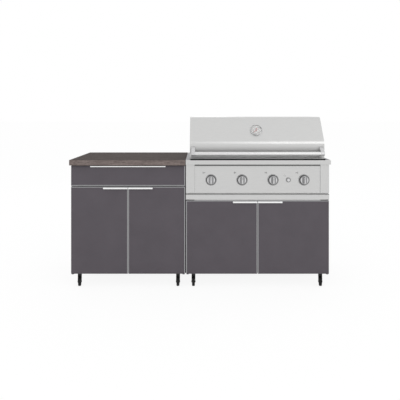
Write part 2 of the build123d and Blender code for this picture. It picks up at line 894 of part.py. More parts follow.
# Burners: four tubes, held in the front wall and closed against the back wall
burner_y = (fire_y[0] - burner_nose, fire_in_y[1])
with BuildPart() as burners:
    with BuildSketch(front_plane(burner_y[0])):
        with Locations(*[(x, knob_z) for x in knob_x]):
            Circle(burner_radius)
    extrude(amount=burner_y[0] - burner_y[1])
    with BuildSketch(front_plane(burner_y[0])):
        with Locations(*[(x, knob_z) for x in knob_x]):
            Circle(burner_radius - burner_wall)
    extrude(amount=burner_y[0] - burner_y[1] + burner_wall, mode=Mode.SUBTRACT)
save(burners.part, "burners")

# Heat tents: a folded sheet over each burner, its ends on the lower ledges
tent_slope = atan2(tent_height, tent_width / 2)
tent_foot = tent_sheet / sin(tent_slope)
tent_ridge = tent_sheet / cos(tent_slope)
with BuildPart() as tents:
    for x in knob_x:
        with BuildSketch(front_plane(fire_in_y[0])):
            Polygon(
                (x - tent_width / 2, tent_z),
                (x, tent_z + tent_height),
                (x + tent_width / 2, tent_z),
                (x + tent_width / 2 - tent_foot, tent_z),
                (x, tent_z + tent_height - tent_ridge),
                (x - tent_width / 2 + tent_foot, tent_z),
                align=None,
            )
        extrude(amount=fire_in_y[0] - fire_in_y[1])
save(tents.part, "heat_tents")

# Cooking grates: cast bars in a border, side by side on the upper ledges
grate_width = (fire_in_x[1] - fire_in_x[0] - (grate_count + 1) * grate_gap) / grate_count
grate_depth = fire_in_y[1] - fire_in_y[0] - 2 * grate_gap
slot_pitch = grate_slot + grate_bar
slot_count = int((grate_width - 2 * grate_border + grate_bar) // slot_pitch)
slot_length = (grate_depth - 3 * grate_border) / 2
with BuildPart() as grates:
    with BuildSketch(Plane.XY.offset(grate_z)):
        with Locations((grill_x, fire_mid_y)):
            with GridLocations(grate_width + grate_gap, 1, grate_count, 1):
                RectangleRounded(grate_width, grate_depth, grate_bar)
            with GridLocations(grate_width + grate_gap, 1, grate_count, 1):
                with GridLocations(slot_pitch, slot_length + grate_border, slot_count, 2):
                    Rectangle(grate_slot, slot_length, mode=Mode.SUBTRACT)
    extrude(amount=grate_thick)
save(grates.part, "cooking_grates")

# Warming rack: rods welded to cross rods, carried by a bracket on each firebox side
rack_z = counter_height + rack_rise
rack_y = (fire_in_y[1] - rack_back_gap - rack_depth, fire_in_y[1] - rack_back_gap)
rack_mid_y = (rack_y[0] + rack_y[1]) / 2
rack_pitch = rack_depth / (rack_rods - 1)
bracket_sheet = rack_rod
rack_foot_z = grate_z + grate_thick + grate_gap
with BuildPart() as rack:
    with BuildSketch(Plane.YZ.offset(fire_in_x[0])):
        with Locations((rack_mid_y, rack_z)):
            with GridLocations(rack_pitch, 1, rack_rods, 1):
                Circle(rack_rod)
    extrude(amount=fire_in_x[1] - fire_in_x[0])
    with BuildSketch(front_plane(rack_y[0] - 2 * rack_rod)):
        with Locations((grill_x, rack_z - rack_rod - rack_cross + rack_weld)):
            with GridLocations(knob_pitch, 1, rack_crosses, 1):
                Circle(rack_cross)
    extrude(amount=-(rack_depth + 4 * rack_rod))


def rack_bracket(x0):
    with BuildPart() as bracket:
        with BuildSketch(Plane.YZ.offset(x0)):
            with Locations((rack_mid_y, (rack_foot_z + rack_z - rack_rod) / 2)):
                Rectangle(rack_foot, rack_z - rack_rod - rack_foot_z)
            with Locations((rack_mid_y, rack_z - 2 * rack_rod)):
                Rectangle(rack_depth + 2 * rack_rod, 2 * rack_rod)
        extrude(amount=bracket_sheet)
    return bracket.part


save_group(
    [rack.part, rack_bracket(fire_in_x[0]), rack_bracket(fire_in_x[1] - bracket_sheet)],
    "warming_rack",
)

# Grease tray: a full-width folded front with a flanged pan behind it
pan_x = (grill_in[0] + tray_side_gap, grill_in[1] - tray_side_gap)
pan_y = (front_y + tray_sheet, front_y + tray_sheet + tray_length)
pan_top_z = tray_top_z - tray_sheet - tray_rail_gap
tray_front_x = (middle_x + tray_front_inset, right_x - tray_front_inset)
with BuildPart() as tray_front:
    with BuildSketch(Plane.YZ.offset(tray_front_x[0])):
        with Locations((front_y + tray_return / 2, (tray_z + tray_top_z) / 2)):
            Rectangle(tray_return, tray_front_height)
        with Locations((front_y + tray_return / 2 + tray_sheet, (tray_z + tray_top_z) / 2)):
            Rectangle(tray_return, tray_front_height - 2 * tray_sheet, mode=Mode.SUBTRACT)
    extrude(amount=tray_front_x[1] - tray_front_x[0])
    fillet(tray_front.edges().filter_by(Axis.X).group_by(Axis.Y)[0], tray_sheet)
with BuildPart() as pan:
    with BuildSketch(Plane.XY.offset(pan_top_z)):
        with Locations((grill_x, (pan_y[0] + pan_y[1]) / 2)):
            Rectangle(pan_x[1] - pan_x[0], tray_length)
    extrude(amount=-tray_depth)
    with BuildSketch(Plane.XY.offset(pan_top_z)):
        with Locations((grill_x, (pan_y[0] + pan_y[1]) / 2)):
            Rectangle(pan_x[1] - pan_x[0] + 2 * tray_flange, tray_length)
    extrude(amount=-tray_sheet)
    with BuildSketch(Plane.XY.offset(pan_top_z)):
        with Locations((grill_x, (pan_y[0] + pan_y[1]) / 2)):
            Rectangle(pan_x[1] - pan_x[0] - 2 * tray_sheet, tray_length - 2 * tray_sheet)
    extrude(amount=-(tray_depth - tray_sheet), mode=Mode.SUBTRACT)
save_group([tray_front.part, pan.part], "grease_tray")

# Tray rails: angles on the cabinet sides under the flanges of the pan
tray_rail_z = pan_top_z - tray_sheet - tray_rail_gap


def tray_rail(side_x, inward):
    with BuildPart() as angle:
        with BuildSketch(front_plane(carcass_y)):
            with BuildLine():
                Polyline(
                    (side_x, tray_rail_z),
                    (side_x + inward * tray_rail_leg, tray_rail_z),
                    (side_x + inward * tray_rail_leg, tray_rail_z - tray_rail_sheet),
                    (side_x + inward * tray_rail_sheet, tray_rail_z - tray_rail_sheet),
                    (side_x + inward * tray_rail_sheet, tray_rail_z - tray_rail_leg),
                    (side_x, tray_rail_z - tray_rail_leg),
                    close=True,
                )
            make_face()
        extrude(amount=carcass_y - panel_back_y)
    return angle.part


save_group([tray_rail(grill_in[0], 1), tray_rail(grill_in[1], -1)], "tray_rails")

# Hood: a bent sheet, open below, with a closing panel at each end
hood_x = (grill_x - hood_width / 2, grill_x + hood_width / 2)
hood_y = lip_y + hood_setback
hood_back_y = hood_y + hood_depth
hood_z = counter_height + hood_lift
hood_top_z = hood_z + hood_band + hood_rise
pivot_axis = (hood_back_y - hood_pivot_radius, hood_z + hood_pivot_radius)
hood_corners = [
    (hood_y, hood_z),
    (hood_y, hood_z + hood_band),
    (hood_y + hood_run, hood_top_z),
    (hood_back_y, hood_top_z),
    (hood_back_y, hood_z),
]
hood_rounds = [hood_bend, hood_crown, hood_crown, hood_pivot_radius]


def hood_outline(x):
    """The closed side view of the hood, its lower rear corner round about the pivot."""
    with BuildSketch(Plane.YZ.offset(x)) as outline:
        Polygon(*hood_corners, align=None)
        for (y, z), radius in zip(hood_corners[1:], hood_rounds):
            fillet(outline.vertices().sort_by_distance((y, z, 0))[0], radius)
    return outline


# The gauge sits square on the slope of the hood
slope_length = hypot(hood_run, hood_rise)
gauge_y = hood_y + hood_run * gauge_rise / hood_rise
gauge_z = hood_z + hood_band + gauge_rise
gauge_plane = Plane(
    origin=(grill_x, gauge_y, gauge_z),
    x_dir=(1, 0, 0),
    z_dir=(0, -hood_rise / slope_length, hood_run / slope_length),
)
mouth_y = (hood_y + hood_hem, hood_back_y + hood_sheet)
mouth_z = (counter_height, pivot_axis[1])
with BuildPart() as skin:
    with BuildSketch(Plane.YZ.offset(hood_x[0] + hood_end)):
        add(hood_outline(0).sketch_local)
        offset(amount=-hood_sheet, mode=Mode.SUBTRACT)
        with Locations(((mouth_y[0] + mouth_y[1]) / 2, (mouth_z[0] + mouth_z[1]) / 2)):
            Rectangle(mouth_y[1] - mouth_y[0], mouth_z[1] - mouth_z[0], mode=Mode.SUBTRACT)
    extrude(amount=hood_width - 2 * hood_end)
    with BuildSketch(gauge_plane):
        Circle(probe_radius + probe_fit)
    extrude(amount=-2 * hood_sheet, mode=Mode.SUBTRACT)
save(skin.part, "hood_skin")


def hood_end_panel(x0):
    with BuildPart() as panel:
        with BuildSketch(Plane.YZ.offset(x0)):
            add(hood_outline(0).sketch_local)
            with Locations(pivot_axis):
                Circle(hood_pin + hood_pin_fit, mode=Mode.SUBTRACT)
        extrude(amount=hood_end)
    return panel.part


save_group([hood_end_panel(hood_x[0]), hood_end_panel(hood_x[1] - hood_end)], "hood_ends")

# Hood pivots: an angle bracket on the rim beside each end, with its pin
def hood_pivot(end_x, outward):
    near_x = end_x + outward * hood_bracket_gap
    with BuildPart() as pivot:
        with BuildSketch(Plane.YZ.offset(near_x)):
            with Locations(pivot_axis):
                Circle(hood_bracket_width / 2)
            with Locations((pivot_axis[0], (counter_height + pivot_axis[1]) / 2)):
                Rectangle(hood_bracket_width, pivot_axis[1] - counter_height)
        extrude(amount=outward * hood_bracket)
        with BuildSketch(Plane.XY.offset(counter_height)):
            with Locations((near_x + outward * (hood_bracket + hood_foot) / 2, pivot_axis[0])):
                Rectangle(hood_bracket + hood_foot, hood_bracket_width)
        extrude(amount=hood_bracket)
        with BuildSketch(Plane.YZ.offset(near_x)):
            with Locations(pivot_axis):
                Circle(hood_pin)
        extrude(amount=-outward * (hood_bracket_gap + hood_end + hood_pin_inside))
    return pivot.part


save_group([hood_pivot(hood_x[0], -1), hood_pivot(hood_x[1], 1)], "hood_pivots")

# Hood handle: a tube held in the sockets of two cast posts
tube_y = hood_y - handle_standoff
tube_z = hood_z + handle_rise
tube_x = (hood_x[0] + post_width - post_socket, hood_x[1] - post_width + post_socket)
post_z = hood_z + post_drop


def handle_post(x0, socket_x):
    with BuildPart() as post:
        with BuildSketch(Plane.YZ.offset(x0)):
            with Locations((tube_y, tube_z)):
                Circle(handle_radius + post_nose)
            with Locations((hood_y - post_root / 2, post_z + post_height / 2)):
                Rectangle(post_root, post_height)
            make_hull()
        extrude(amount=post_width)
        fillet(post.edges().group_by(Axis.X)[0], post_round)
        fillet(post.edges().group_by(Axis.X)[-1], post_round)
        with BuildSketch(Plane.YZ.offset(socket_x)):
            with Locations((tube_y, tube_z)):
                Circle(handle_radius + post_fit)
        extrude(amount=post_socket, mode=Mode.SUBTRACT)
    return post.part


with BuildPart() as tube:
    with BuildSketch(Plane.YZ.offset(tube_x[0])):
        with Locations((tube_y, tube_z)):
            Circle(handle_radius)
            Circle(handle_radius - handle_wall, mode=Mode.SUBTRACT)
    extrude(amount=tube_x[1] - tube_x[0])
save(tube.part, "hood_handle")
save_group(
    [handle_post(hood_x[0], tube_x[0]), handle_post(hood_x[1] - post_width, tube_x[1] - post_socket)],
    "handle_posts",
)

# Temperature gauge: case with probe and spindle, glass on a ledge, needle on the spindle
glass_z = gauge_depth - gauge_glass - gauge_lip
needle_z = gauge_floor + needle_lift
with BuildPart() as gauge:
    with BuildSketch(gauge_plane):
        Circle(gauge_radius)
    extrude(amount=gauge_depth)
    fillet(gauge.edges().group_by(Axis(gauge_plane.origin, gauge_plane.z_dir))[-1], gauge_wall / 2)
    with BuildSketch(gauge_plane.offset(gauge_floor)):
        Circle(gauge_radius - gauge_wall - gauge_ledge)
    extrude(amount=gauge_depth - gauge_floor, mode=Mode.SUBTRACT)
    with BuildSketch(gauge_plane.offset(glass_z)):
        Circle(gauge_radius - gauge_wall)
    extrude(amount=gauge_depth - glass_z, mode=Mode.SUBTRACT)
    with BuildSketch(gauge_plane.offset(gauge_floor)):
        Circle(spindle_radius)
    extrude(amount=needle_lift + 2 * needle_thick)
    with BuildSketch(gauge_plane):
        Circle(probe_radius)
    extrude(amount=-probe_length)
save(gauge.part, "gauge_case")

with BuildPart() as lens:
    with BuildSketch(gauge_plane.offset(glass_z)):
        Circle(gauge_radius - gauge_wall - gauge_fit)
    extrude(amount=gauge_glass)
save(lens.part, "gauge_glass")

# The needle rests at the cold end of the dial, down to the left
needle_way = gauge_plane.y_dir.rotate(Axis((0, 0, 0), gauge_plane.z_dir), needle_turn)
needle_plane = Plane(
    origin=gauge_plane.origin + gauge_plane.z_dir * needle_z,
    x_dir=needle_way,
    z_dir=gauge_plane.z_dir,
)
with BuildPart() as needle:
    with BuildSketch(needle_plane):
        Polygon(
            (-needle_tail, -needle_width / 2),
            (needle_length, -needle_width / 6),
            (needle_length, needle_width / 6),
            (-needle_tail, needle_width / 2),
            align=None,
        )
        Circle(needle_hub)
        Circle(spindle_radius + spindle_fit, mode=Mode.SUBTRACT)
    extrude(amount=needle_thick)
save(needle.part, "gauge_needle")

# Casters: eight places, the front ones free to swivel and the rear ones fixed
caster_places = []
for side, (x0, x1) in {"base": (left_x, middle_x), "grill": (middle_x, right_x)}.items():
    outer_turn = caster_turn if side == "base" else -caster_turn
    left_turn = outer_turn if side == "base" else 0.0
    right_turn = 0.0 if side == "base" else outer_turn
    front = front_y + caster_setback
    rear = back_y - caster_rear_setback
    caster_places += [
        (f"{side}_front_left", x0 + caster_inset, front, left_turn),
        (f"{side}_front_right", x1 - caster_inset, front, right_turn),
        (f"{side}_rear_left", x0 + caster_inset, rear, 180.0),
        (f"{side}_rear_right", x1 - caster_inset, rear, 180.0),
    ]
plate_z = floor_z - caster_plate_thick
fork_top_z = plate_z - fork_gap
leg_offset = wheel_width / 2 + wheel_gap


def caster_frame(x, y, turn, z):
    """Plane at a caster: local x along its axle, local y away from its wheel."""
    return Plane(origin=(x, y, z), x_dir=(cos(radians(turn)), sin(radians(turn)), 0), z_dir=(0, 0, 1))


def fork(x, y, turn):
    """Pressed fork: a round top on the kingpin, two legs, a web between them over the wheel, and the axle."""
    top = caster_frame(x, y, turn, fork_top_z - fork_sheet)
    web_height = top.origin.Z - 2 * wheel_radius - fork_web_gap
    hub = top.origin - top.y_dir * caster_trail
    middle = Plane(origin=(hub.X, hub.Y, wheel_radius), x_dir=top.y_dir, z_dir=top.x_dir)
    with BuildPart() as body:
        with BuildSketch(top):
            Circle(fork_top_radius)
        extrude(amount=fork_sheet)
        for side in (1, -1):
            with BuildSketch(middle.offset(side * leg_offset)):
                Circle(fork_eye)
                with Locations((caster_trail, fork_top_z - fork_sheet / 2 - wheel_radius)):
                    Rectangle(2 * fork_leg, fork_sheet)
                make_hull()
            extrude(amount=side * fork_sheet)
        with BuildSketch(top):
            with Locations((0, fork_sheet / 2 - fork_leg)):
                Rectangle(2 * (leg_offset + fork_sheet), fork_sheet)
        extrude(amount=-web_height)
        with BuildSketch(top):
            Circle(kingpin_radius + kingpin_fit)
        extrude(amount=fork_sheet, mode=Mode.SUBTRACT)
        with BuildSketch(middle.offset(-leg_offset - fork_sheet - axle_end)):
            Circle(axle_radius)
        extrude(amount=2 * (leg_offset + fork_sheet + axle_end))
    return body.part


def wheel(x, y, turn):
    """Solid wheel with a rounded tread and hollowed faces round its hub."""
    top = caster_frame(x, y, turn, fork_top_z)
    hub = top.origin - top.y_dir * caster_trail
    middle = Plane(origin=(hub.X, hub.Y, wheel_radius), x_dir=top.y_dir, z_dir=top.x_dir)
    with BuildPart() as disc:
        with BuildSketch(middle.offset(-wheel_width / 2)):
            Circle(wheel_radius)
        extrude(amount=wheel_width)
        fillet(disc.edges(), wheel_round)
        for side in (1, -1):
            with BuildSketch(middle.offset(side * wheel_width / 2)):
                Circle(wheel_radius - wheel_tyre)
                Circle(wheel_hub, mode=Mode.SUBTRACT)
            extrude(amount=-side * wheel_dish, mode=Mode.SUBTRACT)
        with BuildSketch(middle.offset(-wheel_width / 2)):
            Circle(axle_radius + axle_fit)
        extrude(amount=wheel_width, mode=Mode.SUBTRACT)
    return disc.part


def caster_top(x, y):
    """Square mounting plate with the kingpin and its head."""
    with BuildPart() as top:
        with BuildSketch(Plane.XY.offset(plate_z)):
            with Locations((x, y)):
                RectangleRounded(caster_plate, caster_plate, caster_plate_round)
        extrude(amount=caster_plate_thick)
        with BuildSketch(Plane.XY.offset(plate_z)):
            with Locations((x, y)):
                Circle(kingpin_radius)
        extrude(amount=-(2 * fork_gap + fork_sheet))
        with BuildSketch(Plane.XY.offset(plate_z - 2 * fork_gap - fork_sheet)):
            with Locations((x, y)):
                Circle(kingpin_head)
        extrude(amount=-kingpin_head_height)
    return top.part


rear_forks = []
for name, x, y, turn in caster_places:
    if "rear" in name:
        rear_forks.append(fork(x, y, turn))
    else:
        save(fork(x, y, turn), f"{name}_fork")
    save(wheel(x, y, turn), f"{name}_wheel")
save_group(rear_forks, "rear_caster_forks")
save_group([caster_top(x, y) for name, x, y, turn in caster_places], "caster_plates")
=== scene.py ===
import math

import bmesh
import bpy
from mathutils import Matrix, Vector


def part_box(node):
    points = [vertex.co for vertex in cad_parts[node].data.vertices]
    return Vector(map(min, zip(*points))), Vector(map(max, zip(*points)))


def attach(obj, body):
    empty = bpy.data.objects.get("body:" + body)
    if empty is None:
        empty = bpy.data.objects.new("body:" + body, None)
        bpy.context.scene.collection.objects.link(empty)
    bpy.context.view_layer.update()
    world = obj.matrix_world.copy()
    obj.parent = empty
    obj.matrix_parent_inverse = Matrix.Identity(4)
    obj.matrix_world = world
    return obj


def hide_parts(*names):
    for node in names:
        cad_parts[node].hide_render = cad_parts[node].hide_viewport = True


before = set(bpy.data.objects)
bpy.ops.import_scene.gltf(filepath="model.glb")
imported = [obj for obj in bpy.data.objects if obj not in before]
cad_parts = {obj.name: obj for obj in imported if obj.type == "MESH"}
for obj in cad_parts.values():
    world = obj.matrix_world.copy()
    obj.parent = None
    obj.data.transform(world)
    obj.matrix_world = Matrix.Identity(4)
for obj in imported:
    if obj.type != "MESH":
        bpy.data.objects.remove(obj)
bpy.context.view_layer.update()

scene = bpy.context.scene
scene.view_settings.view_transform = "Standard"


# The camera of the photograph: level, straight in front of the middle of the kitchen, a little above the
# hood. The picture is shifted down instead of the camera being tilted, so upright edges stay upright.
photo_camera = bpy.data.cameras.new("photo_camera")
photo_camera.lens = 42.5
photo_camera.sensor_width = 36.0
photo_camera.shift_y = -0.219
camera_stand = bpy.data.objects.new("photo_camera", photo_camera)
camera_stand.location = (0.0, -3.62, 1.234)
camera_stand.rotation_euler = (math.radians(90.0), 0.0, 0.0)
scene.collection.objects.link(camera_stand)
scene.camera = camera_stand


# The studio: a white room that lights the kitchen softly from all round, a white floor that keeps a faint
# shadow, a large softbox up to the right of the camera, a smaller one to the left, and one behind.
room_light = 0.65
floor_white = 0.88
floor_veil = 0.85
floor_glow = 1.065
floor_reach = 60.0
white = (1.0, 1.0, 1.0, 1.0)


def wire(tree, kind, inputs=None, **settings):
    """Add a shader node, set its settings, and fill or link its sockets by name."""
    made = tree.nodes.new("ShaderNode" + kind)
    for key, value in settings.items():
        setattr(made, key, value)
    for key, value in (inputs or {}).items():
        if isinstance(value, bpy.types.NodeSocket):
            tree.links.new(value, made.inputs[key])
        else:
            made.inputs[key].default_value = value
    return made


def seen_directly(tree):
    """One for rays from the camera and those mirrored or passed on to it, nought for light in the room."""
    path = wire(tree, "LightPath")
    mirrored = wire(tree, "Math", {0: path.outputs["Is Glossy Ray"], 1: path.outputs["Is Transmission Ray"]},
                    operation="MAXIMUM")
    either = wire(tree, "Math", {0: path.outputs["Is Camera Ray"], 1: mirrored.outputs[0]},
                  operation="MAXIMUM")
    return either.outputs[0]


studio = bpy.data.worlds.new("white_studio")
studio.use_nodes = True
studio.node_tree.nodes.clear()
around = wire(studio.node_tree, "Background", {"Color": white, "Strength": room_light})
backdrop = wire(studio.node_tree, "Background", {"Color": white, "Strength": 1.0})
both = wire(
    studio.node_tree,
    "MixShader",
    {"Fac": seen_directly(studio.node_tree), 1: around.outputs[0], 2: backdrop.outputs[0]},
)
wire(studio.node_tree, "OutputWorld", {"Surface": both.outputs[0]})
scene.world = studio

floor_finish = bpy.data.materials.new("studio_floor")
floor_finish.use_nodes = True
floor_tree = floor_finish.node_tree
floor_tree.nodes.clear()
shaded = wire(floor_tree, "BsdfDiffuse", {"Color": (floor_white, floor_white, floor_white, 1.0)})
glowing = wire(floor_tree, "Emission", {"Color": white, "Strength": floor_glow})
veil = wire(floor_tree, "Math", {0: seen_directly(floor_tree), 1: floor_veil}, operation="MULTIPLY")
floor_inputs = {"Fac": veil.outputs[0], 1: shaded.outputs[0], 2: glowing.outputs[0]}
floor_mix = wire(floor_tree, "MixShader", floor_inputs)
wire(floor_tree, "OutputMaterial", {"Surface": floor_mix.outputs[0]})

floor_shape = bmesh.new()
bmesh.ops.create_grid(floor_shape, x_segments=1, y_segments=1, size=floor_reach)
floor_mesh = bpy.data.meshes.new("studio_floor")
floor_shape.to_mesh(floor_mesh)
floor_shape.free()
floor_mesh.materials.append(floor_finish)
floor = bpy.data.objects.new("studio_floor", floor_mesh)
scene.collection.objects.link(floor)


def softbox(name, place, target, width, height, watts):
    """A rectangular lamp at place, facing target."""
    lamp = bpy.data.lights.new(name, "AREA")
    lamp.shape = "RECTANGLE"
    lamp.size = width
    lamp.size_y = height
    lamp.energy = watts
    stand = bpy.data.objects.new(name, lamp)
    stand.location = place
    stand.rotation_euler = (Vector(target) - Vector(place)).to_track_quat("-Z", "Y").to_euler()
    scene.collection.objects.link(stand)


softbox("key_softbox", (2.8, -4.0, 3.5), (0.3, 0.0, 0.8), 4.6, 2.7, 34.0)
softbox("fill_softbox", (-3.2, -3.6, 2.4), (-0.2, 0.0, 0.7), 1.8, 1.8, 16.0)
softbox("rear_softbox", (-0.6, 4.4, 2.8), (0.0, 0.0, 0.7), 2.4, 1.4, 12.0)


# Cabinet carcasses: sides, floors, backs, rails and a shelf of folded aluminium sheet with a dark warm grey
# powder coat, riveted and screwed together. Round-headed screws hold the back sheets to the sides and floors.
carcass_colour = (0.119, 0.105, 0.121)
screw_radius = 0.0045
screw_height = 0.0022
screw_edge = 0.010
screw_spacing = 0.19
screw_outline = [
    (0.0, 0.4 * screw_height),
    (0.4 * screw_radius, 0.4 * screw_height),
    (0.5 * screw_radius, screw_height),
    (0.85 * screw_radius, 0.75 * screw_height),
    (screw_radius, 0.0),
]
screw_sides = 10
even = (1.0, 1.0, 1.0)


def new_finish(name):
    """A material with one principled shader, ready for its pattern nodes."""
    finish = bpy.data.materials.new(name)
    finish.use_nodes = True
    tree = finish.node_tree
    tree.nodes.clear()
    shader = wire(tree, "BsdfPrincipled")
    wire(tree, "OutputMaterial", {"Surface": shader.outputs["BSDF"]})
    return finish, tree, shader


def pattern(tree, stretch, scale, detail, **extra):
    """A noise on the piece's own coordinates, stretched along the axes; returns its grey value."""
    place = wire(tree, "TexCoord")
    spread = wire(tree, "Mapping", {"Vector": place.outputs["Object"], "Scale": stretch})
    grain = wire(tree, "TexNoise", {"Vector": spread.outputs[0], "Scale": scale, "Detail": detail, **extra})
    return grain.outputs[0]


def tones(tree, grey, stops):
    """Colours for a grey value, as (place, colour) stops."""
    ramp = wire(tree, "ValToRGB", {"Fac": grey})
    elements = ramp.color_ramp.elements
    while len(elements) < len(stops):
        elements.new(0.5)
    for element, (place, colour) in zip(elements, stops):
        element.position = place
        element.color = (*colour, 1.0)
    return ramp.outputs["Color"]


def shade(colour, factor):
    return tuple(min(1.0, channel * factor) for channel in colour)


def between(tree, grey, low, high):
    """The grey value spread over a range, for roughness."""
    spread = {"Value": grey, "From Min": 0.3, "From Max": 0.7, "To Min": low, "To Max": high}
    return wire(tree, "MapRange", spread).outputs[0]


def relief(tree, shader, grey, strength, distance):
    bump = wire(tree, "Bump", {"Height": grey, "Strength": strength, "Distance": distance})
    tree.links.new(bump.outputs[0], shader.inputs["Normal"])


def coated(name, colour, peel, rough):
    """Paint on sheet metal: a fine orange peel, slow clouds in the colour and slight wear in the gloss."""
    finish, tree, shader = new_finish(name)
    cloud = pattern(tree, even, 7.0, 3.0)
    stops = [(0.3, shade(colour, 0.95)), (0.7, shade(colour, 1.05))]
    tree.links.new(tones(tree, cloud, stops), shader.inputs["Base Color"])
    wiped = pattern(tree, (1.0, 1.0, 0.35), 26.0, 4.0)
    tree.links.new(between(tree, wiped, rough - 0.05, rough + 0.06), shader.inputs["Roughness"])
    shader.inputs["Specular IOR Level"].default_value = 0.3
    relief(tree, shader, pattern(tree, even, peel, 2.0), 0.12, 0.0004)
    return finish


def coat(finish, *nodes):
    """Give CAD nodes that keep their own shape a finish."""
    for name in nodes:
        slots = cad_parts[name].data.materials
        for index in range(len(slots)):
            slots[index] = finish


def finished(shape, name, body, finishes, replaced=(), sheet=0.0, crease=35.0):
    """Make a bmesh a piece of the kitchen: finishes, smooth shading up to a crease, and the body it rides on.
    A shape that is one skin gets the thickness of its sheet on the inside."""
    mesh = bpy.data.meshes.new(name)
    shape.to_mesh(mesh)
    shape.free()
    for finish in finishes:
        mesh.materials.append(finish)
    mesh.polygons.foreach_set("use_smooth", [True] * len(mesh.polygons))
    mesh.set_sharp_from_angle(angle=math.radians(crease))
    piece = bpy.data.objects.new(name, mesh)
    scene.collection.objects.link(piece)
    if sheet:
        wall = piece.modifiers.new("sheet", "SOLIDIFY")
        wall.thickness = sheet
        wall.offset = -1.0
        wall.use_even_offset = True
    piece.modifiers.new("even_shading", "WEIGHTED_NORMAL").keep_sharp = True
    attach(piece, body)
    if replaced:
        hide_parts(*replaced)
    return piece


carcass_paint = coated("carcass_paint", carcass_colour, 620.0, 0.52)
coat(carcass_paint, "cabinet_sides", "cabinet_floors", "cabinet_backs", "cabinet_rails", "cabinet_shelf")


def verts_of(geometry):
    return [v for v in geometry if isinstance(v, bmesh.types.BMVert)]


def copied(shape, places):
    """Copy the shape made at the origin to every place, the first one being the shape itself."""
    model = list(shape.verts) + list(shape.edges) + list(shape.faces)
    for place in places[1:]:
        made = bmesh.ops.duplicate(shape, geom=model)["geom"]
        bmesh.ops.translate(shape, vec=place, verts=verts_of(made))
    bmesh.ops.translate(shape, vec=places[0], verts=verts_of(model))


def spun(shape, outline, axis_matrix, steps):
    """Turn an outline of (radius, height) points a full circle about +Z, then place it."""
    profile = [shape.verts.new((radius, 0.0, height)) for radius, height in outline]
    edges = [shape.edges.new(pair) for pair in zip(profile, profile[1:])]
    before = set(shape.verts) - set(profile)
    bmesh.ops.spin(shape, geom=profile + edges, cent=(0, 0, 0), axis=(0, 0, 1), angle=math.tau, steps=steps,
                   use_merge=True)
    turned = [v for v in shape.verts if v not in before]
    bmesh.ops.remove_doubles(shape, verts=turned, dist=1e-7)
    turned = [v for v in shape.verts if v not in before]
    bmesh.ops.transform(shape, matrix=axis_matrix, verts=turned)
    bmesh.ops.recalc_face_normals(shape, faces=list({f for v in turned for f in v.link_faces}))
    return turned


def evenly(start, end, spacing):
    """Places along a line, no further apart than the spacing."""
    count = math.ceil((end - start) / spacing)
    return [start + (end - start) * i / count for i in range(count + 1)]


back_low, back_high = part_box("cabinet_backs")
worktop_low, worktop_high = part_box("worktop")
rim_low, rim_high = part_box("grill_rim")
joint_x = (worktop_high.x + rim_low.x) / 2
screw_places = []
for low_x, high_x, top_z in ((back_low.x, joint_x, worktop_low.z), (joint_x, back_high.x, back_high.z)):
    row_x = evenly(low_x + screw_edge, high_x - screw_edge, screw_spacing)
    row_z = evenly(back_low.z + screw_edge, top_z - screw_edge, screw_spacing)
    screw_places += [(x, back_high.y, z) for x in row_x for z in (row_z[0], row_z[-1])]
    screw_places += [(x, back_high.y, z) for z in row_z[1:-1] for x in (row_x[0], row_x[-1])]
back_screws = bmesh.new()
spun(back_screws, screw_outline, Matrix.Rotation(math.radians(-90.0), 4, "X"), screw_sides)
copied(back_screws, screw_places)


def bare_steel(name, colour, rough, spangle):
    """Mill or zinc finish on steel: crystals of slightly different grey, cloudy gloss and fine scratches."""
    finish, tree, shader = new_finish(name)
    shader.inputs["Metallic"].default_value = 1.0
    crystal = wire(tree, "TexVoronoi", {"Vector": wire(tree, "TexCoord").outputs["Object"], "Scale": spangle})
    grey = wire(tree, "RGBToBW", {"Color": crystal.outputs["Color"]}).outputs[0]
    stops = [(0.2, shade(colour, 0.9)), (0.8, shade(colour, 1.08))]
    tree.links.new(tones(tree, grey, stops), shader.inputs["Base Color"])
    cloud = pattern(tree, even, 18.0, 5.0)
    tree.links.new(between(tree, cloud, rough - 0.08, rough + 0.1), shader.inputs["Roughness"])
    relief(tree, shader, pattern(tree, even, 350.0, 3.0), 0.05, 0.0003)
    return finish


zinc_colour = (0.56, 0.57, 0.58)
zinc_steel = bare_steel("zinc_steel", zinc_colour, 0.36, 130.0)
finished(back_screws, "back_screws", "cabinets", [zinc_steel])


# Bolts that join the two cabinets, drawer runners and slides, tray rails: zinc-plated steel pressings and
# hexagon bolts. All keep their own shape.
coat(zinc_steel, "joining_bolts", "drawer_runners", "drawer_slides", "tray_rails")


# Worktop: one thick board on the base cabinet, faced with a matt brown-grey laminate whose streaks run along
# the counter. Its front and ends take the same pattern in a lighter tone, painted light for the light falling
# on its upright faces.
worktop_ease = 0.002
worktop_tones = ((0.048, 0.038, 0.036), (0.083, 0.067, 0.063), (0.107, 0.088, 0.082), (0.149, 0.125, 0.117))
side_light_gain = 2.45


def add_box(shape, size, middle):
    """Add a box of this size to a shape; returns its vertices."""
    made = bmesh.ops.create_cube(shape, size=1.0)["verts"]
    bmesh.ops.scale(shape, vec=size, verts=made)
    bmesh.ops.translate(shape, vec=middle, verts=made)
    return made


def block(low, high):
    """A box between two corners, ready to be eased and shaped."""
    shape = bmesh.new()
    add_box(shape, high - low, (low + high) / 2)
    return shape


def eased(shape, edges, radius, segments=3):
    bmesh.ops.bevel(shape, geom=edges, offset=radius, offset_type="OFFSET", segments=segments, profile=0.5,
                    affect="EDGES", material=-1, clamp_overlap=True)


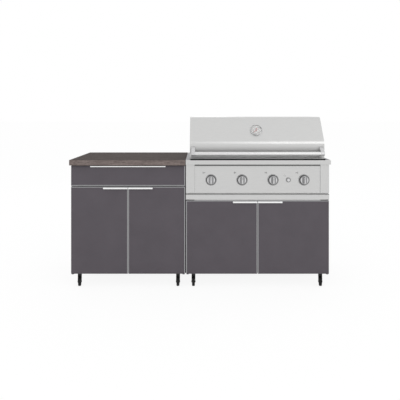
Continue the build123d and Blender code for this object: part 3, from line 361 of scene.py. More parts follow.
def streaked(name, palette):
    """Laminate with long soft streaks, finer dark grain between them and scattered pale flecks."""
    finish, tree, shader = new_finish(name)
    broad = pattern(tree, (1.0, 9.0, 9.0), 9.0, 5.0, Distortion=0.4)
    fine = pattern(tree, (4.0, 60.0, 60.0), 11.0, 6.0, Distortion=0.2)
    fleck = pattern(tree, (1.0, 2.5, 2.5), 95.0, 2.0)
    soft = wire(tree, "Math", {0: broad, 1: fine}, operation="ADD")
    full = wire(tree, "Math", {0: soft.outputs[0], 1: fleck}, operation="ADD")
    mixed = wire(tree, "Math", {0: full.outputs[0], 1: 1 / 3}, operation="MULTIPLY").outputs[0]
    stops = list(zip((0.36, 0.46, 0.54, 0.64), palette))
    tree.links.new(tones(tree, mixed, stops), shader.inputs["Base Color"])
    tree.links.new(between(tree, fine, 0.62, 0.78), shader.inputs["Roughness"])
    shader.inputs["Specular IOR Level"].default_value = 0.03
    relief(tree, shader, fine, 0.15, 0.0003)
    return finish


board = block(worktop_low, worktop_high)
board_middle = (worktop_low + worktop_high) / 2
eased(board, [e for e in board.edges if max(v.co.z for v in e.verts) > board_middle.z], worktop_ease)
board.normal_update()
# Upright faces take the lighter copy of the laminate, painted light.
for face in board.faces:
    face.material_index = 1 if abs(face.normal.z) < 0.7 else 0
board_finish = streaked("worktop_laminate", worktop_tones)
side_light_finish = streaked("worktop_painted_side_light", [shade(tone, side_light_gain) for tone in worktop_tones])
finished(board, "worktop_board", "cabinets", [board_finish, side_light_finish], ["worktop"])


# Drawer and door fronts: a composite panel with a satin dark grey coat, held in a slim frame of aluminium
# edging, which is bare where fronts meet and painted on the outside. The pull is a bright strip, let in along
# the top edge and folded down in front, given as length, depth below the edge and height of the lip.
front_colour = (0.119, 0.105, 0.121)
edging_colour = (0.42, 0.42, 0.43)
pull_colour = (0.93, 0.93, 0.93)
panel_ease = 0.0008
edge_width = 0.005
edge_depth = 0.018
edge_inset = Vector((edge_width, 0.0, edge_width))
edge_ease = 0.0006
edge_proud = 0.001
pull_sheet = 0.002
pull_reach = 0.012
pull_seat = 0.012
pull_fold = 0.0017
pull_ease = 0.00035
front_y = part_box("drawer_front_panel")[0].y - edge_proud
bottom_bar, right_bar, top_bar, left_bar = range(4)
fronts = {
    "drawer": ("drawer_front", 0, {left_bar, top_bar}),
    "base_left_door": ("base_left_door", 1, {left_bar, bottom_bar}),
    "base_right_door": ("base_right_door", -1, {bottom_bar}),
    "grill_left_door": ("grill_left_door", 1, {bottom_bar}),
    "grill_right_door": ("grill_right_door", -1, {right_bar, bottom_bar}),
}
drawer_pull = (0.530, 0.0020, 0.0080)
door_pull = (0.173, 0.0072, 0.0102)


def brushed(name, colour, stretch, rough, painted_shade=None):
    """Brushed metal: hair-fine lines along one axis, and slow changes of gloss across the sheet. Painted
    shade, given as a height, a reach and a factor, darkens the metal round that height."""
    finish, tree, shader = new_finish(name)
    shader.inputs["Metallic"].default_value = 1.0
    lines = pattern(tree, stretch, 14.0, 6.0, Roughness=0.75)
    metal = tones(tree, lines, [(0.32, shade(colour, 0.93)), (0.68, shade(colour, 1.06))])
    # Painted shade: the metal darker in a band round a height, standing in for a shadow.
    if painted_shade:
        height, reach, factor = painted_shade
        place = wire(tree, "SeparateXYZ", {0: wire(tree, "TexCoord").outputs["Object"]})
        above = wire(tree, "Math", {0: place.outputs["Z"], 1: height}, operation="SUBTRACT")
        away = wire(tree, "Math", {0: above.outputs[0]}, operation="ABSOLUTE")
        spread = {"Value": away.outputs[0], "From Max": reach, "To Min": factor, "To Max": 1.0}
        tint = wire(tree, "MapRange", spread, interpolation_type="SMOOTHSTEP")
        metal = wire(tree, "VectorMath", {0: metal, "Scale": tint.outputs[0]}, operation="SCALE").outputs[0]
    tree.links.new(metal, shader.inputs["Base Color"])
    cloud = pattern(tree, even, 5.0, 4.0)
    worn = wire(tree, "Math", {0: lines, 1: cloud}, operation="ADD")
    half = wire(tree, "Math", {0: worn.outputs[0], 1: 0.5}, operation="MULTIPLY").outputs[0]
    tree.links.new(between(tree, half, rough - 0.05, rough + 0.07), shader.inputs["Roughness"])
    relief(tree, shader, lines, 0.03, 0.0002)
    return finish


def sharp_edges(shape):
    return [e for e in shape.edges if e.calc_face_angle(0.0) > math.radians(60)]


def front_edges(shape):
    """The edges round the foremost face."""
    front = min(v.co.y for v in shape.verts)
    return [e for e in shape.edges if all(v.co.y < front + 1e-6 for v in e.verts)]


def edge_frame(low, high, painted):
    """Four edging bars round a front, mitred in one ring; the painted ones take the second finish."""
    shape = bmesh.new()
    inner_low, inner_high = low + edge_inset, high - edge_inset
    outer = ((low.x, low.z), (high.x, low.z), (high.x, high.z), (low.x, high.z))
    inner = ((inner_low.x, inner_low.z), (inner_high.x, inner_low.z), (inner_high.x, inner_high.z),
             (inner_low.x, inner_high.z))
    rings = [[shape.verts.new((x, y, z)) for x, z in corners] for corners, y in (
        (outer, front_y), (inner, front_y), (inner, front_y + edge_depth), (outer, front_y + edge_depth))]
    for ring, following in zip(rings, rings[1:] + rings[:1]):
        for corner in range(4):
            after = (corner + 1) % 4
            side = shape.faces.new((ring[corner], ring[after], following[after], following[corner]))
            side.material_index = 1 if corner in painted else 0
    bmesh.ops.recalc_face_normals(shape, faces=shape.faces)
    eased(shape, sharp_edges(shape), edge_ease, 2)
    return shape


def folded_pull(low_x, high_x, top_z, lip):
    """A strip let into a front along its top edge, folded down in front as a lip for the fingers."""
    lip_y = front_y - pull_reach
    drop_z = top_z + pull_sheet - lip
    section = (
        (front_y + pull_seat, top_z),
        (front_y + pull_seat, top_z + pull_sheet),
        (lip_y, top_z + pull_sheet),
        (lip_y, drop_z),
        (lip_y + pull_sheet, drop_z),
        (lip_y + pull_sheet, top_z),
    )
    shape = bmesh.new()
    face = shape.faces.new([shape.verts.new((low_x, y, z)) for y, z in section])
    pulled = bmesh.ops.extrude_face_region(shape, geom=[face])["geom"]
    bmesh.ops.translate(shape, vec=(high_x - low_x, 0, 0), verts=verts_of(pulled))
    bmesh.ops.recalc_face_normals(shape, faces=shape.faces)
    fold = [e for e in shape.edges if all(v.co.y < lip_y + 1e-6 and v.co.z > top_z + 1e-6 for v in e.verts)]
    eased(shape, fold, pull_fold, 5)
    eased(shape, sharp_edges(shape), pull_ease, 2)
    return shape


front_paint = coated("front_paint", front_colour, 900.0, 0.42)
edging_metal = brushed("edging_aluminium", edging_colour, (30.0, 30.0, 30.0), 0.34)
pull_metal = brushed("pull_aluminium", pull_colour, (3.0, 60.0, 60.0), 0.3)
for name, (node, hand, painted) in fronts.items():
    panel_low, panel_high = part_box(f"{node}_panel")
    panel = block(panel_low, panel_high)
    eased(panel, front_edges(panel), panel_ease, 2)
    finished(panel, f"{name}_board", name, [front_paint], [f"{node}_panel"])
    low, high = panel_low - edge_inset, panel_high + edge_inset
    edging = edge_frame(low, high, painted)
    finished(edging, f"{name}_edging", name, [edging_metal, front_paint], [f"{node}_frame"])
    middle = (low.x + high.x) / 2
    length, sunk, lip = door_pull if hand else drawer_pull
    start = {0: middle - length / 2, 1: high.x - length, -1: low.x}[hand]
    pull = folded_pull(start, start + length, high.z - sunk, lip)
    finished(pull, f"{name}_pull", name, [pull_metal])


# Drawer box: five sheets of coated aluminium between the slides, fixed behind the front.
box_paint = coated("drawer_box_paint", (0.30, 0.30, 0.31), 620.0, 0.5)
coat(box_paint, "drawer_box")


# Firebox: welded stainless sheet under the rim, dulled by heat, with its sloped floor sheets, the heat tents
# that stand over the burners, the burner tubes and the gas pipe with its valves. All keep their own shape.
hot_steel = bare_steel("heat_dulled_steel", (0.40, 0.385, 0.37), 0.45, 45.0)
coat(hot_steel, "firebox_walls", "heat_tents", "burners")
pipe_steel = bare_steel("pipe_steel", (0.52, 0.52, 0.53), 0.32, 160.0)
coat(pipe_steel, "gas_manifold")


# Cooking grates: three castings of iron with black enamel, lying loose on the firebox ledges. The bars' upper
# edges are eased as the mould leaves them.
iron_colour = (0.022, 0.021, 0.021)
grate_ease = 0.0022


def own_shape(node):
    """A copy of a CAD node's mesh with its loose triangles joined into whole faces."""
    shape = bmesh.new()
    shape.from_mesh(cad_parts[node].data)
    bmesh.ops.remove_doubles(shape, verts=shape.verts, dist=2e-6)
    bmesh.ops.dissolve_limit(shape, angle_limit=math.radians(0.4), verts=shape.verts, edges=shape.edges)
    return shape


enamel, enamel_tree, enamel_shader = new_finish("cast_iron_enamel")
pits = pattern(enamel_tree, even, 240.0, 5.0)
soot = pattern(enamel_tree, even, 16.0, 6.0)
enamel_stops = [(0.35, shade(iron_colour, 0.6)), (0.65, shade(iron_colour, 1.7))]
enamel_tree.links.new(tones(enamel_tree, soot, enamel_stops), enamel_shader.inputs["Base Color"])
enamel_tree.links.new(between(enamel_tree, soot, 0.38, 0.6), enamel_shader.inputs["Roughness"])
relief(enamel_tree, enamel_shader, pits, 0.35, 0.0006)
grates = own_shape("cooking_grates")
grate_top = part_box("cooking_grates")[1].z
top_edges = [e for e in grates.edges if all(v.co.z > grate_top - 1e-5 for v in e.verts)]
eased(grates, [e for e in top_edges if len(e.link_faces) == 2], grate_ease, 2)
finished(grates, "cast_grates", "cabinets", [enamel], ["cooking_grates"])


# Door pivots: plates that carry the doors' pins. The upper ones are painted with the carcass, the lower ones
# are zinc plated.
pivots = own_shape("door_pivots")
for face in pivots.faces:
    face.material_index = 1 if face.calc_center_median().z < back_high.z / 2 else 0
finished(pivots, "pivot_plates", "cabinets", [carcass_paint, zinc_steel], ["door_pivots"])


# Warming rack: bright steel rods welded to cross rods, standing on two folded brackets.
coat(pipe_steel, "warming_rack")


# Grill rim: one frame of folded stainless sheet round the firebox, its corners welded and ground flush. Its
# glancing reflection is tinted dark, painted shade for the dark gap under the hood mirrored in its top. Its
# front lip overhangs the control panel; the pillars and the panel below are folded from the same sheet.
steel_colour = (0.62, 0.62, 0.615)
steel_rough = 0.33
rim_sheet = 0.002
rim_glance_shade = (0.30, 0.30, 0.32, 1.0)
rim_fold = 0.003
along_x = (1.5, 70.0, 70.0)
along_z = (70.0, 70.0, 1.5)
brushed_steel = brushed("brushed_steel", steel_colour, along_x, steel_rough)
upright_steel = brushed("brushed_steel_upright", steel_colour, along_z, steel_rough)
fire_box_low, fire_box_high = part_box("firebox_walls")
fire_wall = 0.002
opening_x = (fire_box_low.x + fire_wall, fire_box_high.x - fire_wall)
opening_y = (fire_box_low.y + fire_wall, fire_box_high.y - fire_wall)
rim = bmesh.new()
around_rim = ((0, 0), (1, 0), (1, 1), (0, 1))
rim_x = (rim_low.x, rim_high.x)
rim_y = (rim_low.y, rim_high.y)
outer = [rim.verts.new((rim_x[i], rim_y[j], rim_high.z)) for i, j in around_rim]
inner = [rim.verts.new((opening_x[i], opening_y[j], rim_high.z)) for i, j in around_rim]
for corner in range(4):
    after = (corner + 1) % 4
    rim.faces.new((outer[corner], outer[after], inner[after], inner[corner]))
skirt_edges = [rim.edges.get((outer[corner], outer[corner + 1])) for corner in range(3)]
skirt = bmesh.ops.extrude_edge_only(rim, edges=skirt_edges)["geom"]
bmesh.ops.translate(rim, vec=(0, 0, rim_low.z - rim_high.z), verts=verts_of(skirt))
bmesh.ops.recalc_face_normals(rim, faces=rim.faces)
eased(rim, sharp_edges(rim), rim_fold, 4)
rim.normal_update()
if max(rim.faces, key=lambda f: f.calc_area()).normal.z < 0:
    bmesh.ops.reverse_faces(rim, faces=rim.faces)
rim_shaded_steel = brushed("rim_shaded_steel", steel_colour, along_x, steel_rough)
# A dark tint on the glancing reflection: painted shade.
rim_shaded_steel.node_tree.nodes["Principled BSDF"].inputs["Specular Tint"].default_value = rim_glance_shade
finished(rim, "steel_rim", "cabinets", [rim_shaded_steel], ["grill_rim"], sheet=rim_sheet)
coat(upright_steel, "grill_pillars")
coat(brushed_steel, "control_panel")


# Rim bead: a slim black strip with eased edges along the front of the rim, a dark piece put there as painted
# shade for the shadowed gap under the hood.
bead_depth = 0.010
bead_height = 0.0078
bead_front = 0.052
bead_inset = 0.004
bead_ease = 0.0015
hood_low, hood_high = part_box("hood_skin")
gap_shade_black = coated("painted_gap_shade", (0.003, 0.003, 0.003), 900.0, 0.9)
bead = block(
    Vector((hood_low.x + bead_inset, hood_low.y - bead_front, rim_high.z)),
    Vector((hood_high.x - bead_inset, hood_low.y - bead_front + bead_depth, rim_high.z + bead_height)),
)
eased(bead, [e for e in bead.edges if all(v.co.z > rim_high.z + 1e-6 for v in e.verts)], bead_ease, 4)
finished(bead, "rim_bead", "cabinets", [gap_shade_black])


# Round the control panel: a dark grey strip along the panel's top edge under the rim, painted shade for the
# shadowed recess there, a steel apron folded down behind the gap over the grease tray, a hem on the panel's
# lower edge, and a drip ledge with a hem of its own under the tray, above the doors.
shade_strip_drop = 0.0085
shade_strip_proud = 0.0008
shade_strip_ease = 0.0004
apron_setback = 0.011
apron_sheet = 0.001
apron_gap = 0.0006
hem_roll = 0.0022
hem_proud = 0.0004
ledge_drop = 0.0004
ledge_sheet = 0.0013
hem_inset = 0.060
hem_height = 0.0055
panel_low, panel_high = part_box("control_panel")
pillar_low, pillar_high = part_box("grill_pillars")
tray_low, tray_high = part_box("grease_tray")
recess_shade_strip = block(
    Vector((panel_low.x, panel_low.y - shade_strip_proud, panel_high.z - shade_strip_drop)),
    Vector((panel_high.x, panel_low.y, panel_high.z)),
)
eased(recess_shade_strip, front_edges(recess_shade_strip), shade_strip_ease, 2)
recess_shade_grey = coated("recess_shade_grey", (0.30, 0.30, 0.30), 700.0, 0.6)
finished(recess_shade_strip, "panel_recess_shade", "cabinets", [recess_shade_grey])
apron = block(
    Vector((pillar_low.x, panel_low.y + apron_setback, tray_high.z + apron_gap)),
    Vector((pillar_high.x, panel_low.y + apron_setback + apron_sheet, panel_low.z)),
)
eased(apron, apron.edges[:], apron_sheet / 5, 2)
finished(apron, "panel_apron", "cabinets", [brushed_steel])
panel_hem = block(
    Vector((panel_low.x, panel_low.y - hem_proud, panel_low.z - hem_roll)),
    Vector((panel_high.x, panel_low.y + hem_roll, panel_low.z + hem_roll)),
)
eased(panel_hem, panel_hem.edges[:], hem_proud / 2, 2)
finished(panel_hem, "panel_hem", "cabinets", [brushed_steel])
rail_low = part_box("cabinet_rails")[0]
ledge = block(
    Vector((pillar_low.x, panel_low.y, tray_low.z - ledge_drop - ledge_sheet)),
    Vector((pillar_high.x, rail_low.y, tray_low.z - ledge_drop)),
)
eased(ledge, ledge.edges[:], ledge_sheet / 4, 2)
finished(ledge, "drip_ledge", "cabinets", [brushed_steel])
ledge_hem = block(
    Vector((pillar_low.x + hem_inset, panel_low.y, tray_low.z - ledge_drop - hem_height)),
    Vector((pillar_high.x - hem_inset, panel_low.y + ledge_sheet, tray_low.z - ledge_drop - ledge_sheet)),
)
eased(ledge_hem, ledge_hem.edges[:], ledge_sheet / 4, 2)
finished(ledge_hem, "drip_ledge_hem", "cabinets", [brushed_steel])


# Bezels: turned rings on the control panel, one dished behind each burner knob and a small barrel round the
# igniter button, satin plated. The dish and the barrel are plated darker, painted shade for the shaded ring
# round each knob.
plated_colour = (0.66, 0.66, 0.665)
bezel_sides = 72
dish_shade_radius = 0.0385
knob_names = [f"burner_knob_{number}" for number in range(1, 5)]
knob_boxes = [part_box(name) for name in knob_names]
knob_places = [((low.x + high.x) / 2, (low.z + high.z) / 2) for low, high in knob_boxes]
panel_y = panel_low.y
button_low, button_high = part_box("igniter_button")
button_x = (button_low.x + button_high.x) / 2
button_z = (button_low.z + button_high.z) / 2
to_front = Matrix.Rotation(math.radians(90.0), 4, "X")


def plated(name, colour, rough):
    """Satin plating on a turned or cast part: even metal with a faint cloud and fine handling marks."""
    finish, tree, shader = new_finish(name)
    shader.inputs["Metallic"].default_value = 1.0
    cloud = pattern(tree, even, 60.0, 4.0)
    stops = [(0.3, shade(colour, 0.96)), (0.7, shade(colour, 1.04))]
    tree.links.new(tones(tree, cloud, stops), shader.inputs["Base Color"])
    tree.links.new(between(tree, cloud, rough - 0.05, rough + 0.06), shader.inputs["Roughness"])
    relief(tree, shader, pattern(tree, even, 500.0, 3.0), 0.04, 0.0002)
    return finish


bezel_outline = [
    (0.0080, 0.0), (0.0080, 0.0052), (0.0290, 0.0052), (0.0312, 0.0072), (0.0330, 0.0086), (0.0352, 0.0090),
    (0.0374, 0.0085), (0.0390, 0.0070), (0.0399, 0.0048), (0.0400, 0.0),
]
barrel_outline = [
    (0.01108, -0.020), (0.01108, 0.0050), (0.0118, 0.0059), (0.0150, 0.0060), (0.0168, 0.0052),
    (0.0175, 0.0034), (0.0175, 0.0),
]
bezels = bmesh.new()
for x, z in knob_places:
    spun(bezels, bezel_outline, Matrix.Translation((x, panel_y, z)) @ to_front, bezel_sides)
spun(bezels, barrel_outline, Matrix.Translation((button_x, panel_y, button_z)) @ to_front, bezel_sides)
# Faces inside the outer roll take the darker plate, painted shade round the knobs; the barrel takes it too.
for face in bezels.faces:
    middle = face.calc_center_median()
    reach = min(math.hypot(middle.x - x, middle.z - z) for x, z in knob_places)
    face.material_index = 0 if dish_shade_radius < reach < bezel_outline[-1][0] + 1e-4 else 1
bright_plate = plated("satin_plate", plated_colour, 0.2)
bezel_shade_plate = plated("bezel_shade_plate", (0.29, 0.29, 0.292), 0.3)
finished(bezels, "turned_bezels", "cabinets", [bright_plate, bezel_shade_plate], ["control_bezels"])


# Burner knobs: die-cast and satin plated, a knurled skirt with an upright tapered grip that stands between
# two scoops. The scoops and the rim of the skirt take a darker plate, painted shade for the shaded flanks of
# the grip and the ring between knob and bezel. A filled black line is the pointer. Each turns on a stem that
# reaches into its valve.
knob_skirt = [
    (0.0, 0.0), (0.0296, 0.0), (0.0310, 0.0010), (0.0310, 0.0088), (0.0303, 0.0112), (0.0288, 0.0130),
    (0.0266, 0.0139), (0.0240, 0.0137), (0.0, 0.0129),
]
knurl_sides = 84
knurl_depth = 0.0006
knurl_edge = 0.0003
scoop_size = (0.0365, 0.0500)
scoop_round = 0.0125
scoop_rise = 0.0006
scoop_hollow = 0.0002
scoop_lip = 0.0012
grip_width = 0.0122
grip_length = 0.0500
grip_top = 0.0358
grip_sink = 0.002
grip_taper = (0.78, 0.96)
grip_round = 0.0064
grip_ease = 0.0018
pointer_size = (0.0015, 0.0150, 0.0006)
pointer_out = 0.012
pointer_sink = 0.0002
stem_outline = [(0.005, 0.0), (0.005, -0.0335), (0.0, -0.034)]
stem_sides = 24
knob_height = 0.036
knob_shade_plate = plated("knob_painted_shade", (0.29, 0.29, 0.295), 0.26)
pointer_fill = coated("pointer_fill", (0.02, 0.02, 0.02), 900.0, 0.5)


def upright_edges(shape, verts):
    """The edges of these vertices that climb, where the others lie flat."""
    own = set(verts)
    inner = [e for e in shape.edges if own.issuperset(e.verts)]
    return [e for e in inner if abs(e.verts[0].co.z - e.verts[1].co.z) > 1e-4]


def knob_shape():
    """A knob about +Z, standing on its back face, the grip along Y."""
    shape = bmesh.new()
    spun(shape, knob_skirt, Matrix.Identity(4), knurl_sides)
    low_side, high_side = knob_skirt[2][1], knob_skirt[3][1]
    flanks = [f for f in shape.faces if all(low_side - 1e-6 < v.co.z < high_side + 1e-6 for v in f.verts)]
    flanks.sort(key=lambda f: math.atan2(f.calc_center_median().y, f.calc_center_median().x))
    # The rim of the skirt takes the darker plate, painted shade.
    for face in shape.faces:
        face.material_index = 1 if face.calc_center_median().xy.length > knob_skirt[6][0] else 0
    bmesh.ops.inset_individual(
        shape, faces=flanks[::2], thickness=knurl_edge, depth=-knurl_depth, use_even_offset=True
    )
    disc = set(shape.verts)
    face_z = knob_skirt[-2][1]
    pad = add_box(shape, (*scoop_size, 2 * scoop_rise), (0, 0, face_z))
    eased(shape, upright_edges(shape, pad), scoop_round, 8)
    pad_top = [f for f in shape.faces if all(v not in disc and v.co.z > face_z for v in f.verts)]
    bmesh.ops.inset_region(
        shape, faces=pad_top, thickness=scoop_lip, depth=-scoop_hollow, use_even_offset=True
    )
    # The scoops take the darker plate, painted shade.
    for face in [f for f in shape.faces if not any(v in disc for v in f.verts)]:
        face.material_index = 1
    below = set(shape.verts)
    foot = knob_skirt[-1][1] - grip_sink
    bar = add_box(shape, (grip_width, grip_length, grip_top - foot), (0, 0, (grip_top + foot) / 2))
    eased(shape, upright_edges(shape, bar), grip_round, 6)
    crown = {v for v in shape.verts if v not in below and v.co.z > grip_top - 1e-6}
    bmesh.ops.scale(shape, vec=(*grip_taper, 1.0), verts=list(crown))
    eased(shape, [e for e in shape.edges if crown.issuperset(e.verts)], grip_ease, 3)
    mark = add_box(shape, pointer_size, (0, pointer_out, grip_top - pointer_sink))
    for face in {f for v in mark for f in v.link_faces}:
        face.material_index = 2
    spun(shape, stem_outline, Matrix.Identity(4), stem_sides)
    return shape


for name, (x, z), (low, high) in zip(knob_names, knob_places, knob_boxes):
    knob = knob_shape()
    place = Matrix.Translation((x, low.y + knob_height, z)) @ to_front
    bmesh.ops.transform(knob, matrix=place, verts=knob.verts)
    finished(knob, f"{name}_cast", name, [bright_plate, knob_shade_plate, pointer_fill], [name])


# Igniter button: a turned metal plunger in its barrel, its face slightly hollow for the finger.
button_radius = 0.011
button_sides = 48
button_length = button_high.y - button_low.y
button_outline = [
    (0.0, 0.0), (button_radius, 0.0), (button_radius, button_length - 0.0016),
    (0.0104, button_length - 0.0005), (0.0095, button_length), (0.0080, button_length - 0.0003),
    (0.0040, button_length - 0.0012), (0.0, button_length - 0.0015),
]
button = bmesh.new()
spun(button, button_outline, Matrix.Translation((button_x, button_high.y, button_z)) @ to_front, button_sides)
finished(button, "igniter_plunger", "igniter_button", [bright_plate], ["igniter_button"])


# Printed marks on the panel: four bars above and left of each knob, the one for its own burner taller, and a
# small spark of six strokes by the igniter. They are grey ink, a hair proud of the steel.
ink_height = 0.00015
bar_pitch = 0.0046
bar_size = (0.0020, 0.0075)
own_bar_size = (0.0026, 0.0135)
mark_offset = (-0.0500, 0.0505)
spark_offset = (-0.026, 0.030)
spark_stroke = (0.0012, 0.0042)
spark_gap = 0.0048
spark_count = 6
ink = coated("grey_ink", (0.09, 0.09, 0.093), 900.0, 0.6)
marks = bmesh.new()


def ink_bar(size, place):
    """A printed bar of this width and height, moved from the origin to its place on the panel."""
    bar = add_box(marks, (*size, ink_height), (0, 0, 0))
    bmesh.ops.transform(marks, matrix=place, verts=bar)


def on_panel(x, z):
    return Matrix.Translation((x, panel_y - ink_height / 2, z)) @ to_front


middle_burner = (len(knob_places) - 1) / 2
for own, (x, z) in enumerate(knob_places):
    for burner in range(len(knob_places)):
        place = on_panel(x + mark_offset[0] + (burner - middle_burner) * bar_pitch, z + mark_offset[1])
        ink_bar(own_bar_size if burner == own else bar_size, place)
for stroke in range(spark_count):
    turn = Matrix.Rotation(math.tau * stroke / spark_count, 4, "Z") @ Matrix.Translation((0, spark_gap, 0))
    ink_bar(spark_stroke, on_panel(button_x + spark_offset[0], button_z + spark_offset[1]) @ turn)
finished(marks, "panel_marks", "cabinets", [ink])


# Grease tray: a full-width front of brushed sheet with a flanged pan behind it, drawn out on two angle rails.
# A grey strip along the upper edge of the front is painted shade, for the shade the panel above casts there.
strip_height = 0.0055
strip_proud = 0.0008
strip_ease = 0.0003
coat(brushed_steel, "grease_tray")
tray_edge_shade = block(
    Vector((tray_low.x, tray_low.y - strip_proud, tray_high.z - strip_height)),
    Vector((tray_high.x, tray_low.y, tray_high.z)),
)
eased(tray_edge_shade, front_edges(tray_edge_shade), strip_ease, 2)
edge_shade_grey = coated("edge_shade_grey", (0.38, 0.38, 0.38), 700.0, 0.6)
finished(tray_edge_shade, "tray_edge_shade", "grease_tray", [edge_shade_grey])


# Hood: one stainless sheet, brushed along its width, folded up from a hem through the front band, the slope
# and the crown to the rear wall. Painted shade darkens the band behind the handle, standing in for the
# handle's shadow. The sheet is welded between two end panels, which turn on pins in the pivot brackets.
hood_sheet = 0.002
hood_hem = 0.014
hem_drop = 0.006
hood_band = 0.111
hood_rise = 0.180
hood_run = 0.130
shade_rise = 0.051
shade_reach = 0.045
shade_factor = 0.67
bend_steps = 14
rear_wall_z = 0.949
hem_z = hood_low.z - hem_drop
hood_path = [
    (hood_low.y + hood_hem, hem_z),
    (hood_low.y, hem_z),
    (hood_low.y, hood_low.z + hood_band),
    (hood_low.y + hood_run, hood_high.z),
    (hood_high.y, hood_high.z),
    (hood_high.y, rear_wall_z),
]
hood_bends = {2: 0.045, 3: 0.040, 4: 0.040}
hood = bmesh.new()
near_end = [hood.verts.new((hood_low.x, y, z)) for y, z in hood_path]
run = [hood.edges.new(pair) for pair in zip(near_end, near_end[1:])]
drawn = bmesh.ops.extrude_edge_only(hood, edges=run)["geom"]
bmesh.ops.translate(hood, vec=(hood_high.x - hood_low.x, 0, 0), verts=verts_of(drawn))
bmesh.ops.recalc_face_normals(hood, faces=hood.faces)
hood.normal_update()
crown = max(hood.faces, key=lambda f: f.calc_center_median().z)
if crown.normal.z < 0:
    bmesh.ops.reverse_faces(hood, faces=hood.faces)
for corner, radius in hood_bends.items():
    y, z = hood_path[corner]
    before, after = Vector(hood_path[corner - 1]), Vector(hood_path[corner + 1])
    turn = (Vector((y, z)) - before).angle(after - Vector((y, z)))
    fold = [e for e in hood.edges if all(abs(v.co.y - y) < 1e-6 and abs(v.co.z - z) < 1e-6 for v in e.verts)]
    eased(hood, fold, radius * math.tan(turn / 2), bend_steps)
# Painted shade on the band round the height behind the handle.
band_shade = (hood_low.z + shade_rise, shade_reach, shade_factor)
hood_steel = brushed("hood_steel", steel_colour, along_x, steel_rough, band_shade)
finished(hood, "hood_sheet", "hood", [hood_steel], ["hood_skin"], sheet=hood_sheet)
coat(upright_steel, "hood_ends")
coat(brushed_steel, "hood_pivots")


# Hood handle: a polished tube whose ends sit in the sockets of two cast posts, which are bolted to the front
# band a little way in from its ends. The posts are plated and their edges are rounded over.
handle_radius = 0.013
handle_sheet = 0.0015
handle_sides = 64
post_inset = 0.012
to_side = Matrix.Rotation(math.radians(90.0), 4, "Y")
handle_drop = Vector((0.0, 0.0, -0.0026))
handle_low, handle_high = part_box("hood_handle")
handle_middle = (handle_low + handle_high) / 2 + handle_drop
handle = bmesh.new()
bmesh.ops.create_cone(handle, cap_ends=False, segments=handle_sides, radius1=handle_radius,
                      radius2=handle_radius, depth=handle_high.x - handle_low.x)
bmesh.ops.transform(handle, matrix=Matrix.Translation(handle_middle) @ to_side, verts=handle.verts)
handle_steel = brushed("handle_steel", (0.70, 0.70, 0.70), along_x, 0.22)
finished(handle, "handle_tube", "hood", [handle_steel], ["hood_handle"], sheet=handle_sheet)
post_plate = plated("post_plate", (0.60, 0.60, 0.605), 0.27)
posts = own_shape("handle_posts")
bmesh.ops.translate(posts, vec=handle_drop, verts=posts.verts)
for end_x, inset in ((hood_low.x, post_inset), (hood_high.x, -post_inset)):
    outer_side = [v for v in posts.verts if abs(v.co.x - end_x) < post_inset]
    bmesh.ops.translate(posts, vec=(inset, 0, 0), verts=outer_side)
finished(posts, "post_castings", "hood", [post_plate], ["handle_posts"])


# Temperature gauge: a plated case with a rolled bezel, set square on the slope of the hood. The pale enamel
# dial is printed with ticks, plain numbers and a red cooking range; a red needle turns behind flat glass.
gauge_low, gauge_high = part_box("gauge_glass")
slope = Vector((0.0, -hood_rise, hood_run)).normalized()
glass_depth = 0.011
gauge_foot = (gauge_low + gauge_high) / 2 - slope * glass_depth
across = Vector((1.0, 0.0, 0.0))
upward = slope.cross(across)
on_slope = Matrix.Translation(gauge_foot) @ Matrix((across, upward, slope)).transposed().to_4x4()
gauge_sides = 96
case_outline = [
    (0.0385, 0.0095), (0.0392, 0.0118), (0.0406, 0.0129), (0.0420, 0.0128), (0.0434, 0.0118),
    (0.0440, 0.0100), (0.0440, 0.0),
]
well_outline = [(0.0, 0.0030), (0.0378, 0.0030), (0.0385, 0.0095)]
probe_outline = [(0.0, -0.055), (0.0034, -0.0546), (0.0040, -0.053), (0.0040, 0.0)]
spindle_outline = [(0.0012, 0.003), (0.0012, 0.0068), (0.0, 0.0070)]
case = bmesh.new()
for outline in (case_outline, probe_outline, spindle_outline):
    spun(case, outline, on_slope, gauge_sides)
bezel_plate = plated("gauge_bezel_plate", (0.54, 0.54, 0.545), 0.18)
finished(case, "gauge_bezel", "hood", [bezel_plate], ["gauge_case"])

dial_white, dial_tree, dial_shader = new_finish("dial_enamel")
dial_cloud = pattern(dial_tree, even, 70.0, 3.0)
dial_stops = [(0.3, (0.90, 0.90, 0.89)), (0.7, (0.94, 0.94, 0.93))]
dial_tree.links.new(tones(dial_tree, dial_cloud, dial_stops), dial_shader.inputs["Base Color"])
dial_tree.links.new(between(dial_tree, dial_cloud, 0.3, 0.4), dial_shader.inputs["Roughness"])
dial = bmesh.new()
spun(dial, well_outline, on_slope, gauge_sides)
finished(dial, "gauge_dial", "hood", [dial_white])

print_height = 0.0001
dial_face = 0.0030
tick_count = 27
ticks_per_label = 3
tick_sweep = math.radians(270.0)
tick_outer = 0.0352
tick_sizes = {True: (0.0011, 0.0060), False: (0.0006, 0.0034)}
range_radius = (0.0130, 0.0165)
range_turn = (math.radians(-38.0), math.radians(12.0))
range_steps = 16
dial_print = bmesh.new()
for tick in range(tick_count + 1):
    wide, long = tick_sizes[tick % ticks_per_label == 0]
    spot = (0, tick_outer - long / 2, dial_face + print_height / 2)
    bar = add_box(dial_print, (wide, long, print_height), spot)
    turn = Matrix.Rotation(tick_sweep / 2 - tick_sweep * tick / tick_count, 4, "Z")
    bmesh.ops.transform(dial_print, matrix=on_slope @ turn, verts=bar)
dial_ink = coated("dial_ink", (0.03, 0.03, 0.03), 900.0, 0.5)
finished(dial_print, "dial_ticks", "hood", [dial_ink])

